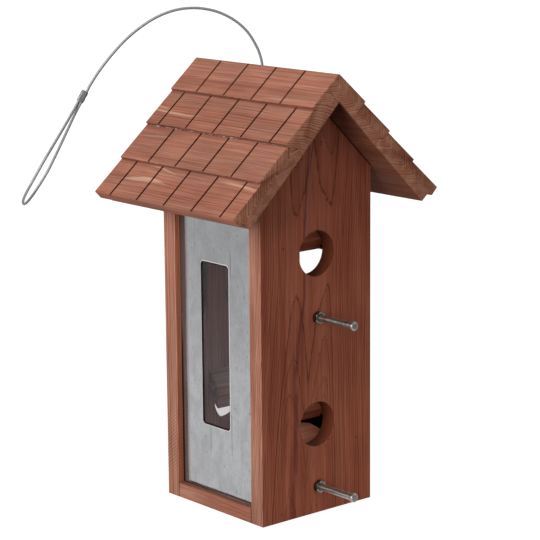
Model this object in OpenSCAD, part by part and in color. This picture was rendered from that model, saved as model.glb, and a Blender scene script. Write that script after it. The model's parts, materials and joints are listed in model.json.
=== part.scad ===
// Cedar seed feeder shaped like a little house: two gabled walls with round ports,
// galvanised sides with clear windows, and a shingle-cut roof that slides up its hanging cable.
// Millimetres. Z up, origin under the middle of the floor. The gables face -Y and +Y.

/* [Walls] */
// Width of the front and back walls
wall_w = 140; // [124:1:170]
// Thickness of the front and back walls
wall_t = 17; // [14:0.5:20]
// Depth over the outer faces of both walls
body_d = 146; // [136:1:170]
// Height of the walls at their outer edges
eave_h = 335; // [325:1:380]
// Thickness of the floor board
floor_t = 15; // [12:0.5:20]

/* [Ports and perches] */
// Diameter of each round port
port_d = 44.5; // [38:0.5:50]
// Height of the lower port's centre
port_low = 89; // [86:0.5:96]
// Height from the lower port's centre to the upper port's
port_pitch = 168; // [150:1:172]
// Height of a port's centre above its perch
perch_drop = 62; // [58:0.5:64]
// Diameter of the perch rods
perch_d = 6.35; // [5:0.05:8]
// How far a perch stands out of the wall
perch_reach = 54; // [40:1:80]
// Diameter of the knob on a perch's end
knob_d = 8.6; // [8.1:0.1:10]
// Length of the knob
knob_l = 5; // [4:0.5:8]
// Width across the flats of the perch nuts
nut_af = 11.1; // [10:0.1:13]
// Thickness of the perch nuts
nut_t = 5.6; // [4:0.1:7]
// Diameter of the washers inside the wall
washer_d = 16; // [14:0.5:20]
// Thickness of the washers
washer_t = 1.4; // [1:0.1:2.5]

/* [Port baffles] */
// Width of the wooden baffle behind each port
baffle_w = 57; // [48:1:70]
// Thickness of the baffles
baffle_t = 12; // [8:0.5:14]
// Depth of a baffle's lower lip below the port's centre
baffle_lip = 3.5; // [0:0.5:8]
// Height of a baffle's inner face
baffle_h = 25.5; // [22:0.5:34]

/* [Seed floor] */
// Height of the sloping seed floor's crest
crest_h = 62.5; // [58:0.5:68]
// Slope of the seed floor
seed_pitch = 9; // [5:0.5:13]
// Thickness of the seed floor boards, upright
seed_t = 12; // [9:0.5:14]
// Distance of the crest behind the middle
crest_y = 4; // [0:0.5:8]
// Gap between the seed floor's ends and the windows
seed_gap = 3; // [1:0.5:5]

/* [Sides] */
// Distance from the walls' side edges in to the metal side
side_inset = 6.5; // [4:0.5:10]
// Thickness of the galvanised sheet
sheet_t = 0.6; // [0.5:0.1:1]
// Thickness of the clear window sheet
window_t = 1.2; // [0.8:0.1:2]
// Depth of the grooves that hold the sides
groove_d = 5; // [3:0.5:7]
// Height of the slot's lower edge
slot_low = 82; // [76:1:100]
// Height of the slot
slot_h = 163; // [120:1:180]
// Width of the slot
slot_w = 42; // [30:1:60]
// Distance of the slot's middle behind the body's middle
slot_shift = 3; // [0:0.5:6]
// Corner radius of the slot
slot_r = 4; // [2:0.5:8]

/* [Roof] */
// Slope of the roof
roof_pitch = 44; // [42:0.5:46]
// How far the roof reaches beyond each wall
roof_over = 32; // [20:1:45]
// Length of one shingle course down the slope
course_l = 44.2; // [40:0.2:48]
// Board thickness at the top of a course
board_thin = 19.9; // [18:0.1:22]
// How much thicker a course is at its butt
butt_rise = 2.6; // [1.5:0.1:3.5]
// Thickness of the tongue at the shiplap joint
tongue_t = 9.3; // [8:0.1:11]
// Overlap of the shiplap lip
lip_l = 6; // [4:0.2:8]
// Width of the saw cuts between shingles
cut_w = 1.8; // [1:0.1:2.5]
// Depth of the saw cuts at their upper ends
cut_deep = 2.6; // [1.5:0.1:3.5]
// Depth of the saw cuts at their lower ends
cut_shallow = 0.9; // [0.3:0.1:1.5]
// Distance between saw cuts
shingle_w = 41.5; // [34:0.5:50]
// Distance from the roof's back end to the first cut of the odd courses
odd_start = 40; // [30:0.5:44]
// Distance from the roof's back end to the first cut of the even courses
even_start = 20.5; // [10:0.5:30]
// How much further from the back end the cuts of the lower boards sit
lower_shift = 4.5; // [0:0.5:8]
// Diameter of the brads in the ridge
ridge_brad_d = 1.8; // [1.4:0.1:2.4]
// Length of the brads in the ridge
ridge_brad_l = 34; // [28:1:38]

/* [Hanging] */
// Diameter of the wire rope
cable_d = 2.4; // [2:0.1:3]
// Distance of the cable behind the body's middle
cable_y = 4.5; // [0:0.5:12]
// Width of the hanger bar under the ridge
bar_w = 19; // [14:0.5:24]
// Height of the hanger bar's section
bar_h = 17; // [12:0.5:20]
// Height of the hanger bar's centre below the gables' peak
bar_drop = 42; // [36:0.5:48]
// Diameter of the stop sleeve under the hanger bar
stop_d = 6; // [5.2:0.1:8]
// Length of the stop sleeve
stop_l = 10; // [7:0.5:14]
// Length of the loop's ferrule
ferrule_l = 12; // [9:0.5:16]
// Wall of the loop's ferrule around its two strands
ferrule_wall = 0.8; // [0.6:0.1:1.5]
// Height that the roof lifts for filling
roof_lift = 150; // [100:10:200]

/* [Brads] */
// Diameter of the brads in the walls
brad_d = 1.6; // [1.2:0.1:2.4]
// Length of the brads in the walls
brad_l = 25; // [22:1:32]
// How far the hanger bar's brads sit beside the middle
bar_brad_x = 5; // [0:0.5:6]

/* [Hidden] */
$fn = 48;

// Clearances: seats between pieces, running fits and the roof's glue lines
seat_gap = 0.3;
fit_gap = 0.05;
glue_gap = 0.3;
cable_hole_gap = 1;
cut_past = 2;

inner_y = body_d / 2 - wall_t;
peak_h = eave_h + wall_w / 2 * tan(roof_pitch);
port_heights = [port_low, port_low + port_pitch];
sheet_x = wall_w / 2 - side_inset;
window_x = sheet_x - sheet_t;
groove_x = window_x - window_t;
side_span = inner_y + groove_d - seat_gap;
bar_z = peak_h - bar_drop;

// Brads in the floor, set by eye along each wall
floor_brads = [-46, -2, 54];

// Woods and metals
cedar_face = [0.45, 0.24, 0.18];
cedar_edge = [0.62, 0.40, 0.31];
cedar_roof = [0.64, 0.43, 0.36];
zinc = [0.66, 0.67, 0.68];
clear = [0.80, 0.85, 0.88, 0.35];
steel = [0.60, 0.60, 0.60];

// Front and back walls

module wall_blank() {
    translate([0, wall_t - body_d / 2, 0])
        rotate([90, 0, 0])
            linear_extrude(wall_t)
                polygon([[-wall_w / 2, 0], [wall_w / 2, 0], [wall_w / 2, eave_h],
                         [0, peak_h], [-wall_w / 2, eave_h]]);
}

module along_y(y, z, d, l) {
    translate([0, y, z]) rotate([-90, 0, 0]) cylinder(d = d, h = l);
}

module groove(side) {
    low = groove_x - seat_gap / 2;
    high = sheet_x + seat_gap / 2;
    translate([side > 0 ? low : -high, -inner_y - groove_d, floor_t])
        cube([high - low, groove_d + cut_past, peak_h]);
}

module wall() {
    difference() {
        wall_blank();
        for (z = port_heights) {
            along_y(-body_d / 2 - cut_past, z, port_d, wall_t + 2 * cut_past);
            along_y(-body_d / 2 - cut_past, z - perch_drop, perch_d + 2 * fit_gap,
                    wall_t + 2 * cut_past);
        }
        groove(-1);
        groove(1);
    }
}

module front_wall() { color(cedar_face) wall(); }
module back_wall() { color(cedar_face) rotate([0, 0, 180]) wall(); }

// Floor and the sloping seed floor above it

module floor_board() {
    color(cedar_edge)
        translate([-wall_w / 2, -inner_y, 0]) cube([wall_w, 2 * inner_y, floor_t]);
}

module seed_slope(end_y) {
    end_z = crest_h - abs(end_y - crest_y) * tan(seed_pitch);
    half = groove_x - seed_gap;
    translate([-half, 0, 0])
        rotate([90, 0, 90])
            linear_extrude(2 * half)
                polygon([[end_y, end_z], [crest_y, crest_h],
                         [crest_y, crest_h - seed_t], [end_y, end_z - seed_t]]);
}

module seed_slope_front() { color(cedar_edge) seed_slope(-inner_y); }
module seed_slope_back() { color(cedar_edge) seed_slope(inner_y); }

// Baffles behind the ports, bevelled above and below

module baffle(port) {
    lip = port_heights[port] - baffle_lip;
    translate([-baffle_w / 2, 0, 0])
        rotate([90, 0, 90])
            linear_extrude(baffle_w)
                polygon([[-inner_y, lip + baffle_t], [baffle_t - inner_y, lip],
                         [baffle_t - inner_y, lip + baffle_h],
                         [-inner_y, lip + baffle_h + baffle_t]]);
}

module baffle_front_upper() { color(cedar_face) baffle(1); }
module baffle_front_lower() { color(cedar_face) baffle(0); }
module baffle_back_upper() { color(cedar_face) rotate([0, 0, 180]) baffle(1); }
module baffle_back_lower() { color(cedar_face) rotate([0, 0, 180]) baffle(0); }

// Galvanised sides, slotted, each with a clear sheet behind it in the same grooves

module slot_cut() {
    half = slot_w / 2;
    translate([-cut_past, slot_shift, slot_low]) {
        translate([0, -half, slot_r]) cube([2 * cut_past, slot_w, slot_h - 2 * slot_r]);
        translate([0, slot_r - half, 0]) cube([2 * cut_past, slot_w - 2 * slot_r, slot_h]);
        for (y = [slot_r - half, half - slot_r], z = [slot_r, slot_h - slot_r])
            translate([0, y, z]) rotate([0, 90, 0]) cylinder(r = slot_r, h = 2 * cut_past);
    }
}

module side_panel() {
    difference() {
        translate([0, -side_span, floor_t]) cube([sheet_t, 2 * side_span, eave_h - floor_t]);
        slot_cut();
    }
}

module window_sheet() {
    translate([0, -side_span, floor_t]) cube([window_t, 2 * side_span, eave_h - floor_t]);
}

module side_panel_left() { color(zinc) translate([-sheet_x, 0, 0]) side_panel(); }
module side_panel_right() { color(zinc) translate([window_x, 0, 0]) side_panel(); }
module window_left() { color(clear) translate([-window_x, 0, 0]) window_sheet(); }
module window_right() { color(clear) translate([groove_x, 0, 0]) window_sheet(); }

// Perches: rods through the walls, each with a nut outside and a washer and nut inside

rod_tail = washer_t + nut_t + 2;

module at_perches() {
    for (turn = [0, 180], z = port_heights)
        rotate([0, 0, turn]) translate([0, 0, z - perch_drop]) children();
}

module perch(port) {
    knob_chamfer = 0.9;
    length = perch_reach + wall_t + rod_tail;
    translate([0, -body_d / 2 - perch_reach, port_heights[port] - perch_drop])
        rotate([-90, 0, 0])
            rotate_extrude()
                polygon([[0, 0], [knob_d / 2 - knob_chamfer, 0], [knob_d / 2, knob_chamfer],
                         [knob_d / 2, knob_l - knob_chamfer / 2],
                         [perch_d / 2, knob_l], [perch_d / 2, length - 1],
                         [perch_d / 2 - 1, length], [0, length]]);
}

module perch_front_upper() { color(steel) perch(1); }
module perch_front_lower() { color(steel) perch(0); }
module perch_back_upper() { color(steel) rotate([0, 0, 180]) perch(1); }
module perch_back_lower() { color(steel) rotate([0, 0, 180]) perch(0); }

module ring_on_rod(y, outer, thick, sides) {
    translate([0, y, 0])
        rotate([-90, 0, 0])
            difference() {
                cylinder(d = outer, h = thick, $fn = sides);
                translate([0, 0, -cut_past])
                    cylinder(d = perch_d + 2 * fit_gap, h = thick + 2 * cut_past);
            }
}

nut_corner = nut_af / cos(30);

module perch_outer_nuts() {
    color(steel) at_perches() ring_on_rod(-body_d / 2 - nut_t, nut_corner, nut_t, 6);
}

module perch_washers() {
    color(steel) at_perches() ring_on_rod(-inner_y, washer_d, washer_t, $fn);
}

module perch_inner_nuts() {
    color(steel) at_perches() ring_on_rod(washer_t - inner_y, nut_corner, nut_t, 6);
}

// Hanger bar under the ridge, and the cable's stop below it

module cable_bore(low, high) {
    translate([0, cable_y, low]) cylinder(d = cable_d + 2 * cable_hole_gap, h = high - low);
}

module hanger_bar() {
    color(cedar_edge)
        difference() {
            translate([-bar_w / 2, -inner_y, bar_z - bar_h / 2]) cube([bar_w, 2 * inner_y, bar_h]);
            cable_bore(bar_z - bar_h, bar_z + bar_h);
        }
}

stop_top = bar_z - bar_h / 2 - washer_t;

module stop_washer() {
    color(steel)
        difference() {
            translate([0, cable_y, stop_top]) cylinder(d = washer_d, h = washer_t);
            cable_bore(stop_top - cut_past, stop_top + washer_t + cut_past);
        }
}

module stop_sleeve() {
    color(steel)
        translate([0, cable_y, stop_top - stop_l])
            difference() {
                cylinder(d = stop_d, h = stop_l);
                translate([0, 0, -cut_past])
                    cylinder(d = cable_d + 2 * fit_gap, h = stop_l + 2 * cut_past);
            }
}

// Roof: sections are drawn from the gables' peak, s down a slope and t square to it

roof_peak = peak_h + seat_gap / cos(roof_pitch);
roof_half = body_d / 2 + roof_over;
ridge_s = -board_thin * tan(roof_pitch);
ridge_h = roof_peak + board_thin / cos(roof_pitch);
butt = board_thin + butt_rise;
step_slant = 0.3;
rabbet_rise = 2.9;
rabbet_slant = 0.8;
seam_t = 13;
seam_s = 6;
ridge_round = 1.2;

// Length down the slope to the butt of course k, counted from the peak
function butt_s(k) = ridge_s + k * course_l;

// A point of the roof's section, side -1 left or 1 right
function at(side, s, t) =
    [side * (s * cos(roof_pitch) + t * sin(roof_pitch)),
     roof_peak - s * sin(roof_pitch) + t * cos(roof_pitch)];

// Thickness on course k at s
function top_t(k, s) = board_thin + butt_rise * (s - butt_s(k - 1)) / course_l;

// Lower edge under a butt: a lip over a rabbet, from the inner face out
function lower_edge(side, k, gap) =
    let (s = butt_s(k) + gap)
        [at(side, s - lip_l - rabbet_slant, 0), at(side, s - lip_l, tongue_t - gap),
         at(side, s - step_slant, tongue_t + rabbet_rise - gap)];

// The small step from the butt of course k down to the next course
function step_points(side, k) =
    [at(side, butt_s(k) + step_slant, board_thin), at(side, butt_s(k), butt)];

module roof_board(section) {
    translate([0, roof_half, 0]) rotate([90, 0, 0]) linear_extrude(2 * roof_half) polygon(section);
}

// The right board laps over the end of the left one at the ridge
ridge_joint = [at(-1, seam_s, top_t(1, seam_s)), at(-1, 0, seam_t), at(-1, 0, 0)];

left_upper_section = concat(
    [at(-1, glue_gap, 0)], lower_edge(-1, 2, 0), [at(-1, butt_s(2), butt)], step_points(-1, 1),
    [at(-1, seam_s + glue_gap, top_t(1, seam_s + glue_gap)), at(-1, glue_gap, seam_t)]);

right_upper_section = concat(
    lower_edge(1, 2, 0), [at(1, butt_s(2), butt)], step_points(1, 1),
    [at(1, ridge_s + ridge_round, top_t(1, ridge_s + ridge_round)),
     at(-1, ridge_s + ridge_round, top_t(1, ridge_s + ridge_round))], ridge_joint);

function lower_section(side) = concat(
    lower_edge(side, 4, 0), [at(side, butt_s(4), butt)], step_points(side, 3),
    [at(side, butt_s(2) + glue_gap, board_thin)],
    [for (i = [2:-1:0]) lower_edge(side, 2, glue_gap)[i]]);

// Saw cuts: one set for each course, deep at the top and shallow at the butt
module saw_cuts(side, k) {
    top = butt_s(k - 1) + (k == 1 ? 0 : step_slant);
    low = butt_s(k) + (k == 1 ? 0 : cut_past);
    end_t = k == 1 ? butt - 0.1 : butt - cut_shallow;
    proud = cut_past;
    start = (k % 2 == 1 ? odd_start : even_start) + (k > 2 ? lower_shift : 0);
    for (y = [start : shingle_w : 2 * roof_half - shingle_w / 4])
        translate([0, roof_half - y + cut_w / 2, 0])
            rotate([90, 0, 0])
                linear_extrude(cut_w)
                    polygon([at(side, top, board_thin - cut_deep), at(side, low, end_t),
                             at(side, low, butt + proud), at(side, top, board_thin + proud)]);
}

module upper_cuts() {
    saw_cuts(-1, 1);
    saw_cuts(1, 1);
    cable_bore(roof_peak - board_thin, ridge_h + cut_past);
}

module roof_left_upper() {
    color(cedar_roof)
        difference() {
            roof_board(left_upper_section);
            upper_cuts();
            saw_cuts(-1, 2);
        }
}

module roof_right_upper() {
    color(cedar_roof)
        difference() {
            roof_board(right_upper_section);
            upper_cuts();
            saw_cuts(1, 2);
        }
}

module roof_lower(side) {
    difference() {
        roof_board(lower_section(side));
        saw_cuts(side, 3);
        saw_cuts(side, 4);
    }
}

module roof_left_lower() { color(cedar_roof) roof_lower(-1); }
module roof_right_lower() { color(cedar_roof) roof_lower(1); }

// Brads through the right board into the end of the left one, between the saw cuts
module ridge_brads() {
    head = at(1, ridge_s / 2, top_t(1, ridge_s / 2));
    color(steel)
        for (y = [-roof_half * 0.84, -roof_half * 0.24, roof_half * 0.36, roof_half * 0.9])
            translate([head[0], y, head[1]])
                rotate([0, 180 + roof_pitch, 0])
                    cylinder(d = ridge_brad_d, h = ridge_brad_l, $fn = 16);
}

// Brads through each wall into the floor and the hanger bar
module wall_brads() {
    for (x = floor_brads) translate([x, 0, 0]) along_y(-body_d / 2, floor_t / 2, brad_d, brad_l);
    translate([bar_brad_x, 0, 0]) along_y(-body_d / 2, bar_z, brad_d, brad_l);
}

module wall_brads_front() { color(steel) wall_brads(); }
module wall_brads_back() { color(steel) rotate([0, 0, 180]) wall_brads(); }

// Cable: straight from its stop to the ridge, then a free stretch that ends in a loop

module cable_inner() {
    low = stop_top - stop_l;
    color(zinc) translate([0, cable_y, low]) cylinder(d = cable_d, h = ridge_h - low);
}

// Heading of the free stretch seen from above, from +X
cable_turn = 140;

// Route from the hole in the ridge: along the heading, up, and to its left
cable_route = [
    [0, 0, 0], [1.3, 6.7, 0], [4.9, 16.7, 0], [13.6, 31.1, 0], [25.8, 42.3, 0], [41, 50.2, 0],
    [57.1, 54, 0], [72.6, 54.2, 0], [87.4, 51.3, 0], [101.9, 45.3, 0], [115.4, 36.9, 0],
    [129, 26.1, 0], [142.8, 11.9, 0], [155.7, -4, 0], [164.3, -16.6, 0], [168.6, -24.2, 0],
    [174.9, -35.5, 0], [179.6, -43.9, -2], [184.6, -53.6, -5], [192.3, -69.2, -9.5],
    [200.4, -85.4, -13.5], [208.7, -101.5, -16], [215.9, -113.4, -16.5], [223.5, -124.7, -13.8],
    [228.7, -131.3, -8.5], [232.4, -133.9, -1.5], [232.9, -130, 5.5], [229.7, -122.4, 11],
    [222.6, -110, 15.5], [210.1, -88.6, 16], [200.9, -73.8, 12], [191.8, -59.1, 7],
    [185.3, -48.3, 3.2], [181.6, -42, 1.2], [177.2, -34.2, 0], [171.6, -23.9, 0]];

ferrule_at = [173, -29.3];
ferrule_tilt = 61;
strand_gap = 0.3;

function placed(p) =
    [p[0] * cos(cable_turn) - p[2] * sin(cable_turn),
     cable_y + p[0] * sin(cable_turn) + p[2] * cos(cable_turn),
     ridge_h + p[1]];

// A smooth curve through the points: each stretch is a cubic set by its four nearest points
function held(i) = min(max(i, 0), len(cable_route) - 1);
function smooth(i, u) =
    let (a = cable_route[held(i - 1)], b = cable_route[i], c = cable_route[held(i + 1)],
         d = cable_route[held(i + 2)])
        0.5 * (2 * b + u * (c - a) + u * u * (2 * a - 5 * b + 4 * c - d)
               + u * u * u * (3 * b - a - 3 * c + d));

rings_per_stretch = 2;
tube_line = concat(
    [for (i = [0 : len(cable_route) - 2], j = [0 : rings_per_stretch - 1])
        placed(smooth(i, j / rings_per_stretch))],
    [placed(cable_route[len(cable_route) - 1])]);

function unit(v) = v / norm(v);
function heading(line, i) =
    unit(line[min(i + 1, len(line) - 1)] - line[max(i - 1, 0)]);

// Sides of each ring, kept from twisting by a fixed direction across the cable's plane
cable_sides = 8;
across = [-sin(cable_turn), cos(cable_turn), 0];
function ring(line, i, r) =
    let (t = i == 0 ? [0, 0, 1] : heading(line, i), a = unit(across - (across * t) * t),
         b = cross(t, a))
        [for (k = [0 : cable_sides - 1])
            line[i] + r * (cos(360 * k / cable_sides) * a + sin(360 * k / cable_sides) * b)];

module tube(line, r) {
    n = len(line);
    m = cable_sides;
    points = [for (i = [0 : n - 1]) each ring(line, i, r)];
    sides = [for (i = [0 : n - 2], k = [0 : m - 1]) each
        let (a = i * m + k, b = i * m + (k + 1) % m)
            [[a, b, b + m], [a, b + m, a + m]]];
    ends = [[for (k = [m - 1 : -1 : 0]) k], [for (k = [0 : m - 1]) (n - 1) * m + k]];
    polyhedron(points, concat(sides, ends));
}

module hanging_cable() { color(zinc) tube(tube_line, cable_d / 2); }

module loop_ferrule() {
    strand_r = (cable_d + strand_gap) / 2;
    outer = cable_d / 2 + ferrule_wall;
    color(steel)
        translate(placed([ferrule_at[0], ferrule_at[1], 0]))
            rotate([0, 0, cable_turn])
                rotate([0, 90 + ferrule_tilt, 0])
                    translate([0, 0, -ferrule_l / 2])
                        linear_extrude(ferrule_l)
                            union() {
                                translate([-strand_r, 0]) circle(r = outer);
                                translate([strand_r, 0]) circle(r = outer);
                                translate([-strand_r, -outer]) square([2 * strand_r, 2 * outer]);
                            }
}

front_wall();
back_wall();
floor_board();
seed_slope_front();
seed_slope_back();
baffle_front_upper();
baffle_front_lower();
baffle_back_upper();
baffle_back_lower();
side_panel_left();
side_panel_right();
window_left();
window_right();
hanger_bar();
stop_washer();
stop_sleeve();
cable_inner();
hanging_cable();
loop_ferrule();
roof_left_upper();
roof_left_lower();
roof_right_upper();
roof_right_lower();
perch_front_upper();
perch_front_lower();
perch_back_upper();
perch_back_lower();
perch_outer_nuts();
perch_inner_nuts();
perch_washers();
wall_brads_front();
wall_brads_back();
ridge_brads();
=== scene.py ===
"""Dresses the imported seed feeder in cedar, galvanised sheet, bright steel and wire rope.

Lengths are in metres, except in the functions that say millimetres. Z is up, the gables face
-Y and +Y, and the ridge runs along Y.
"""

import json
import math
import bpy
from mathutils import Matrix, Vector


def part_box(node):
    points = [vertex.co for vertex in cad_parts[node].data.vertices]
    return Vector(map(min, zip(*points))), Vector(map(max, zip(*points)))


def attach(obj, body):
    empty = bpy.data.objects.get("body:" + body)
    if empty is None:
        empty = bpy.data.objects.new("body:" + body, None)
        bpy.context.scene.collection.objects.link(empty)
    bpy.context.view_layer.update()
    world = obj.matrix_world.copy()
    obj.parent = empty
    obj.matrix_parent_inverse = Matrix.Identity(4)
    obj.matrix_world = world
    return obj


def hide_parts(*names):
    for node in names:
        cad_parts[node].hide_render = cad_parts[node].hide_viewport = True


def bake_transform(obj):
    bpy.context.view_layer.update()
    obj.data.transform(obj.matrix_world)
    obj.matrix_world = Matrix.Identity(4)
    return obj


bl_info = {
    "name": "Cedar feeder dresser",
    "version": (1, 0, 0),
    "blender": (4, 5, 0),
    "location": "3D View > Sidebar > Feeder",
    "description": "Builds the visible boards, metal and rope around the packed feeder",
    "category": "Object",
}

import bmesh
import bpy
import numpy as np
from bpy.props import FloatProperty, FloatVectorProperty, IntProperty, PointerProperty
from mathutils import Matrix

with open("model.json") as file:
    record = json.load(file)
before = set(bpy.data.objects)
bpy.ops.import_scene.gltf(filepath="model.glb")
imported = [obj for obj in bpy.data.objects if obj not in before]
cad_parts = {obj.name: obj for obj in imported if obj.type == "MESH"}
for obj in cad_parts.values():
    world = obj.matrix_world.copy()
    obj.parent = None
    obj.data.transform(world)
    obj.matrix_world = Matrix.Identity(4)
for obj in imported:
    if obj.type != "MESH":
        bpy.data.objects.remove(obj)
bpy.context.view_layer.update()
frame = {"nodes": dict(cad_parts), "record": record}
RECORD = frame["record"]
BODY_OF = {node: body for body, nodes in RECORD["behaviour"]["bodies"].items() for node in nodes}
MM = 0.001
# The slot's lowest and highest corner, (y, z) in millimetres
SLOT_LOW, SLOT_HIGH = np.array([-18.0, 82.0]), np.array([24.0, 245.0])


def box_mm(node):
    """Lowest and highest corner of a CAD node, in millimetres."""
    low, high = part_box(node)
    return np.array(low) / MM, np.array(high) / MM


# ---------------------------------------------------------------------------------------------
# Sizes and colours that a user would change


def metres(name, description, default):
    """A setting in metres."""
    return FloatProperty(name=name, description=description, default=default, unit="LENGTH")


def degrees(name, description, turn):
    """A setting given in degrees and held in radians."""
    return FloatProperty(name=name, description=description, default=math.radians(turn),
                         subtype="ANGLE")


def rgb(name, description, *colour):
    """A setting for a linear colour."""
    return FloatVectorProperty(name=name, description=description, default=colour, size=3,
                               subtype="COLOR")


class FeederSizes(bpy.types.PropertyGroup):
    """Sizes of the pieces that are rebuilt finer than in the CAD model."""

    pitch: degrees("Roof pitch", "Slope of the roof", 44)
    seat: metres("Roof seat", "Clearance of the roof over the gables", 0.0003)
    course: metres("Course", "Length of a shingle course down the slope", 0.0442)
    board: metres("Board", "Roof board thickness at the top of a course", 0.0199)
    rise: metres("Butt rise", "How much thicker a course is at its butt", 0.0026)
    cut_width: metres("Saw cut", "Width of the cuts between shingles", 0.0018)
    cut_pitch: metres("Shingle width", "Distance between saw cuts", 0.0415)
    edge: metres("Edge rounding", "Rounding of the boards' edges", 0.0005)
    rope: metres("Rope", "Thickness of the wire rope", 0.0024)
    lay: metres("Lay", "Length of one turn of the rope's strands", 0.0150)
    strands: IntProperty(name="Strands", description="Outer strands of the rope", default=6)


class FeederColours(bpy.types.PropertyGroup):
    """Main colours of the woods and metals."""

    face: rgb("Gable face", "Planed face of the gable walls", 0.288, 0.085, 0.048)
    edge: rgb("Board edge", "Sawn edges of the walls and floor", 0.405, 0.183, 0.124)
    roof: rgb("Roof", "Shingle faces of the roof boards", 0.352, 0.143, 0.0945)
    end: rgb("End grain", "Sawn ends of the roof boards", 0.445, 0.197, 0.122)
    soffit: rgb("Soffit", "Undersides of the roof boards", 0.225, 0.078, 0.046)
    zinc: rgb("Zinc", "Galvanised sheet", 0.340, 0.343, 0.353)
    steel: rgb("Steel", "Perches, nuts and washers", 0.60, 0.57, 0.53)


class FeederView(bpy.types.PropertyGroup):
    """Place and angle of the photograph's camera."""

    azimuth: degrees("Azimuth", "Turn of the camera about the feeder", -40.499)
    elevation: degrees("Elevation", "Height of the camera's view", 11.798)
    roll: degrees("Roll", "Turn of the picture", -0.4935)
    place: FloatVectorProperty(name="Place", description="Position of the camera",
                               subtype="TRANSLATION", size=3,
                               default=(-1.29580, -1.52173, 0.64722))
    focal: FloatProperty(name="Focal length", description="In units of the picture's width",
                         default=2088.65 / 540)


# ---------------------------------------------------------------------------------------------
# Meshes


def ripple(along, seed, wavelength, waves=7):
    """Smooth noise of about unit size: a sum of sines whose lengths lie around wavelength."""
    rng = np.random.default_rng(seed)
    lengths = wavelength * np.exp(rng.uniform(-0.9, 0.9, waves))
    phases = rng.uniform(0, 2 * math.pi, waves)
    angles = 2 * math.pi * np.asarray(along)[..., None] / lengths + phases
    return np.sin(angles).sum(-1) * math.sqrt(2 / waves)


def grid_faces(rows, columns, ring=False):
    """Quads between rows of points that each close round. The last row joins the first in a ring,
    or else both ends get a flat face."""
    r = np.arange(rows if ring else rows - 1)[:, None]
    c = np.arange(columns)[None, :]
    r2, c2 = (r + 1) % rows, (c + 1) % columns
    quads = np.stack([r * columns + c, r * columns + c2, r2 * columns + c2, r2 * columns + c], -1)
    ends = [list(range(columns)), list(range((rows - 1) * columns, rows * columns))]
    return quads.reshape(-1, 4).tolist() + ([] if ring else ends)


def make_piece(name, points, faces, material, smooth=30, marks=None, merge=0.0):
    """A mesh object from points in metres and faces, normals outwards, smooth below an angle."""
    mesh = bpy.data.meshes.new(name)
    mesh.from_pydata(np.asarray(points, float).reshape(-1, 3).tolist(), [], faces)
    for mark, values in (marks or {}).items():
        layer = mesh.attributes.new(mark, "FLOAT", "POINT")
        layer.data.foreach_set("value", np.asarray(values, np.float32).ravel())
    shape = bmesh.new()
    shape.from_mesh(mesh)
    if merge:
        bmesh.ops.remove_doubles(shape, verts=shape.verts, dist=merge)
    bmesh.ops.recalc_face_normals(shape, faces=shape.faces)
    shape.to_mesh(mesh)
    shape.free()
    return finish_piece(name, mesh, material, smooth)


def finish_piece(name, mesh, material, smooth=30):
    """Puts a mesh into the scene under a name, with its material and smooth shading."""
    mesh.name = name
    mesh.materials.clear()
    mesh.materials.append(material)
    mesh.shade_smooth()
    mesh.set_sharp_from_angle(angle=math.radians(smooth))
    piece = bpy.data.objects.new(name, mesh)
    bpy.context.scene.collection.objects.link(piece)
    return piece


def stand_for(piece, *nodes):
    """The piece takes the place of CAD nodes: it rides on their body, and the nodes are hidden."""
    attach(piece, BODY_OF[nodes[0]])
    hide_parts(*nodes)
    return piece


def trimmed_copy(name, node, material, rounding):
    """A copy of a CAD node with its flat faces joined up and its edges rounded by a bevel."""
    mesh = frame["nodes"][node].data.copy()
    shape = bmesh.new()
    shape.from_mesh(mesh)
    bmesh.ops.remove_doubles(shape, verts=shape.verts, dist=2e-6)
    bmesh.ops.dissolve_limit(shape, angle_limit=math.radians(0.4), verts=shape.verts,
                             edges=shape.edges)
    shape.to_mesh(mesh)
    shape.free()
    piece = finish_piece(name, mesh, material, 25)
    mesh.normals_split_custom_set([(0, 0, 0)] * len(mesh.loops))
    bevel = piece.modifiers.new("rounding", "BEVEL")
    bevel.width = rounding
    bevel.segments = 2
    bevel.limit_method = "ANGLE"
    bevel.angle_limit = math.radians(40)
    bevel.harden_normals = True
    return stand_for(piece, node)


def normals_along(path):
    """Two unit normals at each point of a path, carried along it with least turning."""
    step = np.gradient(path, axis=0)
    tangent = step / np.linalg.norm(step, axis=1, keepdims=True)
    first = np.cross(tangent[0], (0.37, 0.61, 0.05))
    side = [first / np.linalg.norm(first)]
    for t in tangent[1:]:
        turned = side[-1] - t * (side[-1] @ t)
        side.append(turned / np.linalg.norm(turned))
    return np.array(side), np.cross(tangent, side)


def tube(path, radius, sides):
    """Points and faces of a closed tube: at length l and angle a, path(l) + r(l, a) (cos a, sin a)
    in the path's own normals. radius is an array of rows along the path by sides."""
    side, other = normals_along(path)
    round_it = np.linspace(0, 2 * math.pi, sides, endpoint=False)[:, None]
    ring = side[:, None] * np.cos(round_it) + other[:, None] * np.sin(round_it)
    points = path[:, None] + np.broadcast_to(radius, (len(path), sides))[..., None] * ring
    return points.reshape(-1, 3), grid_faces(len(path), sides)


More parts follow.
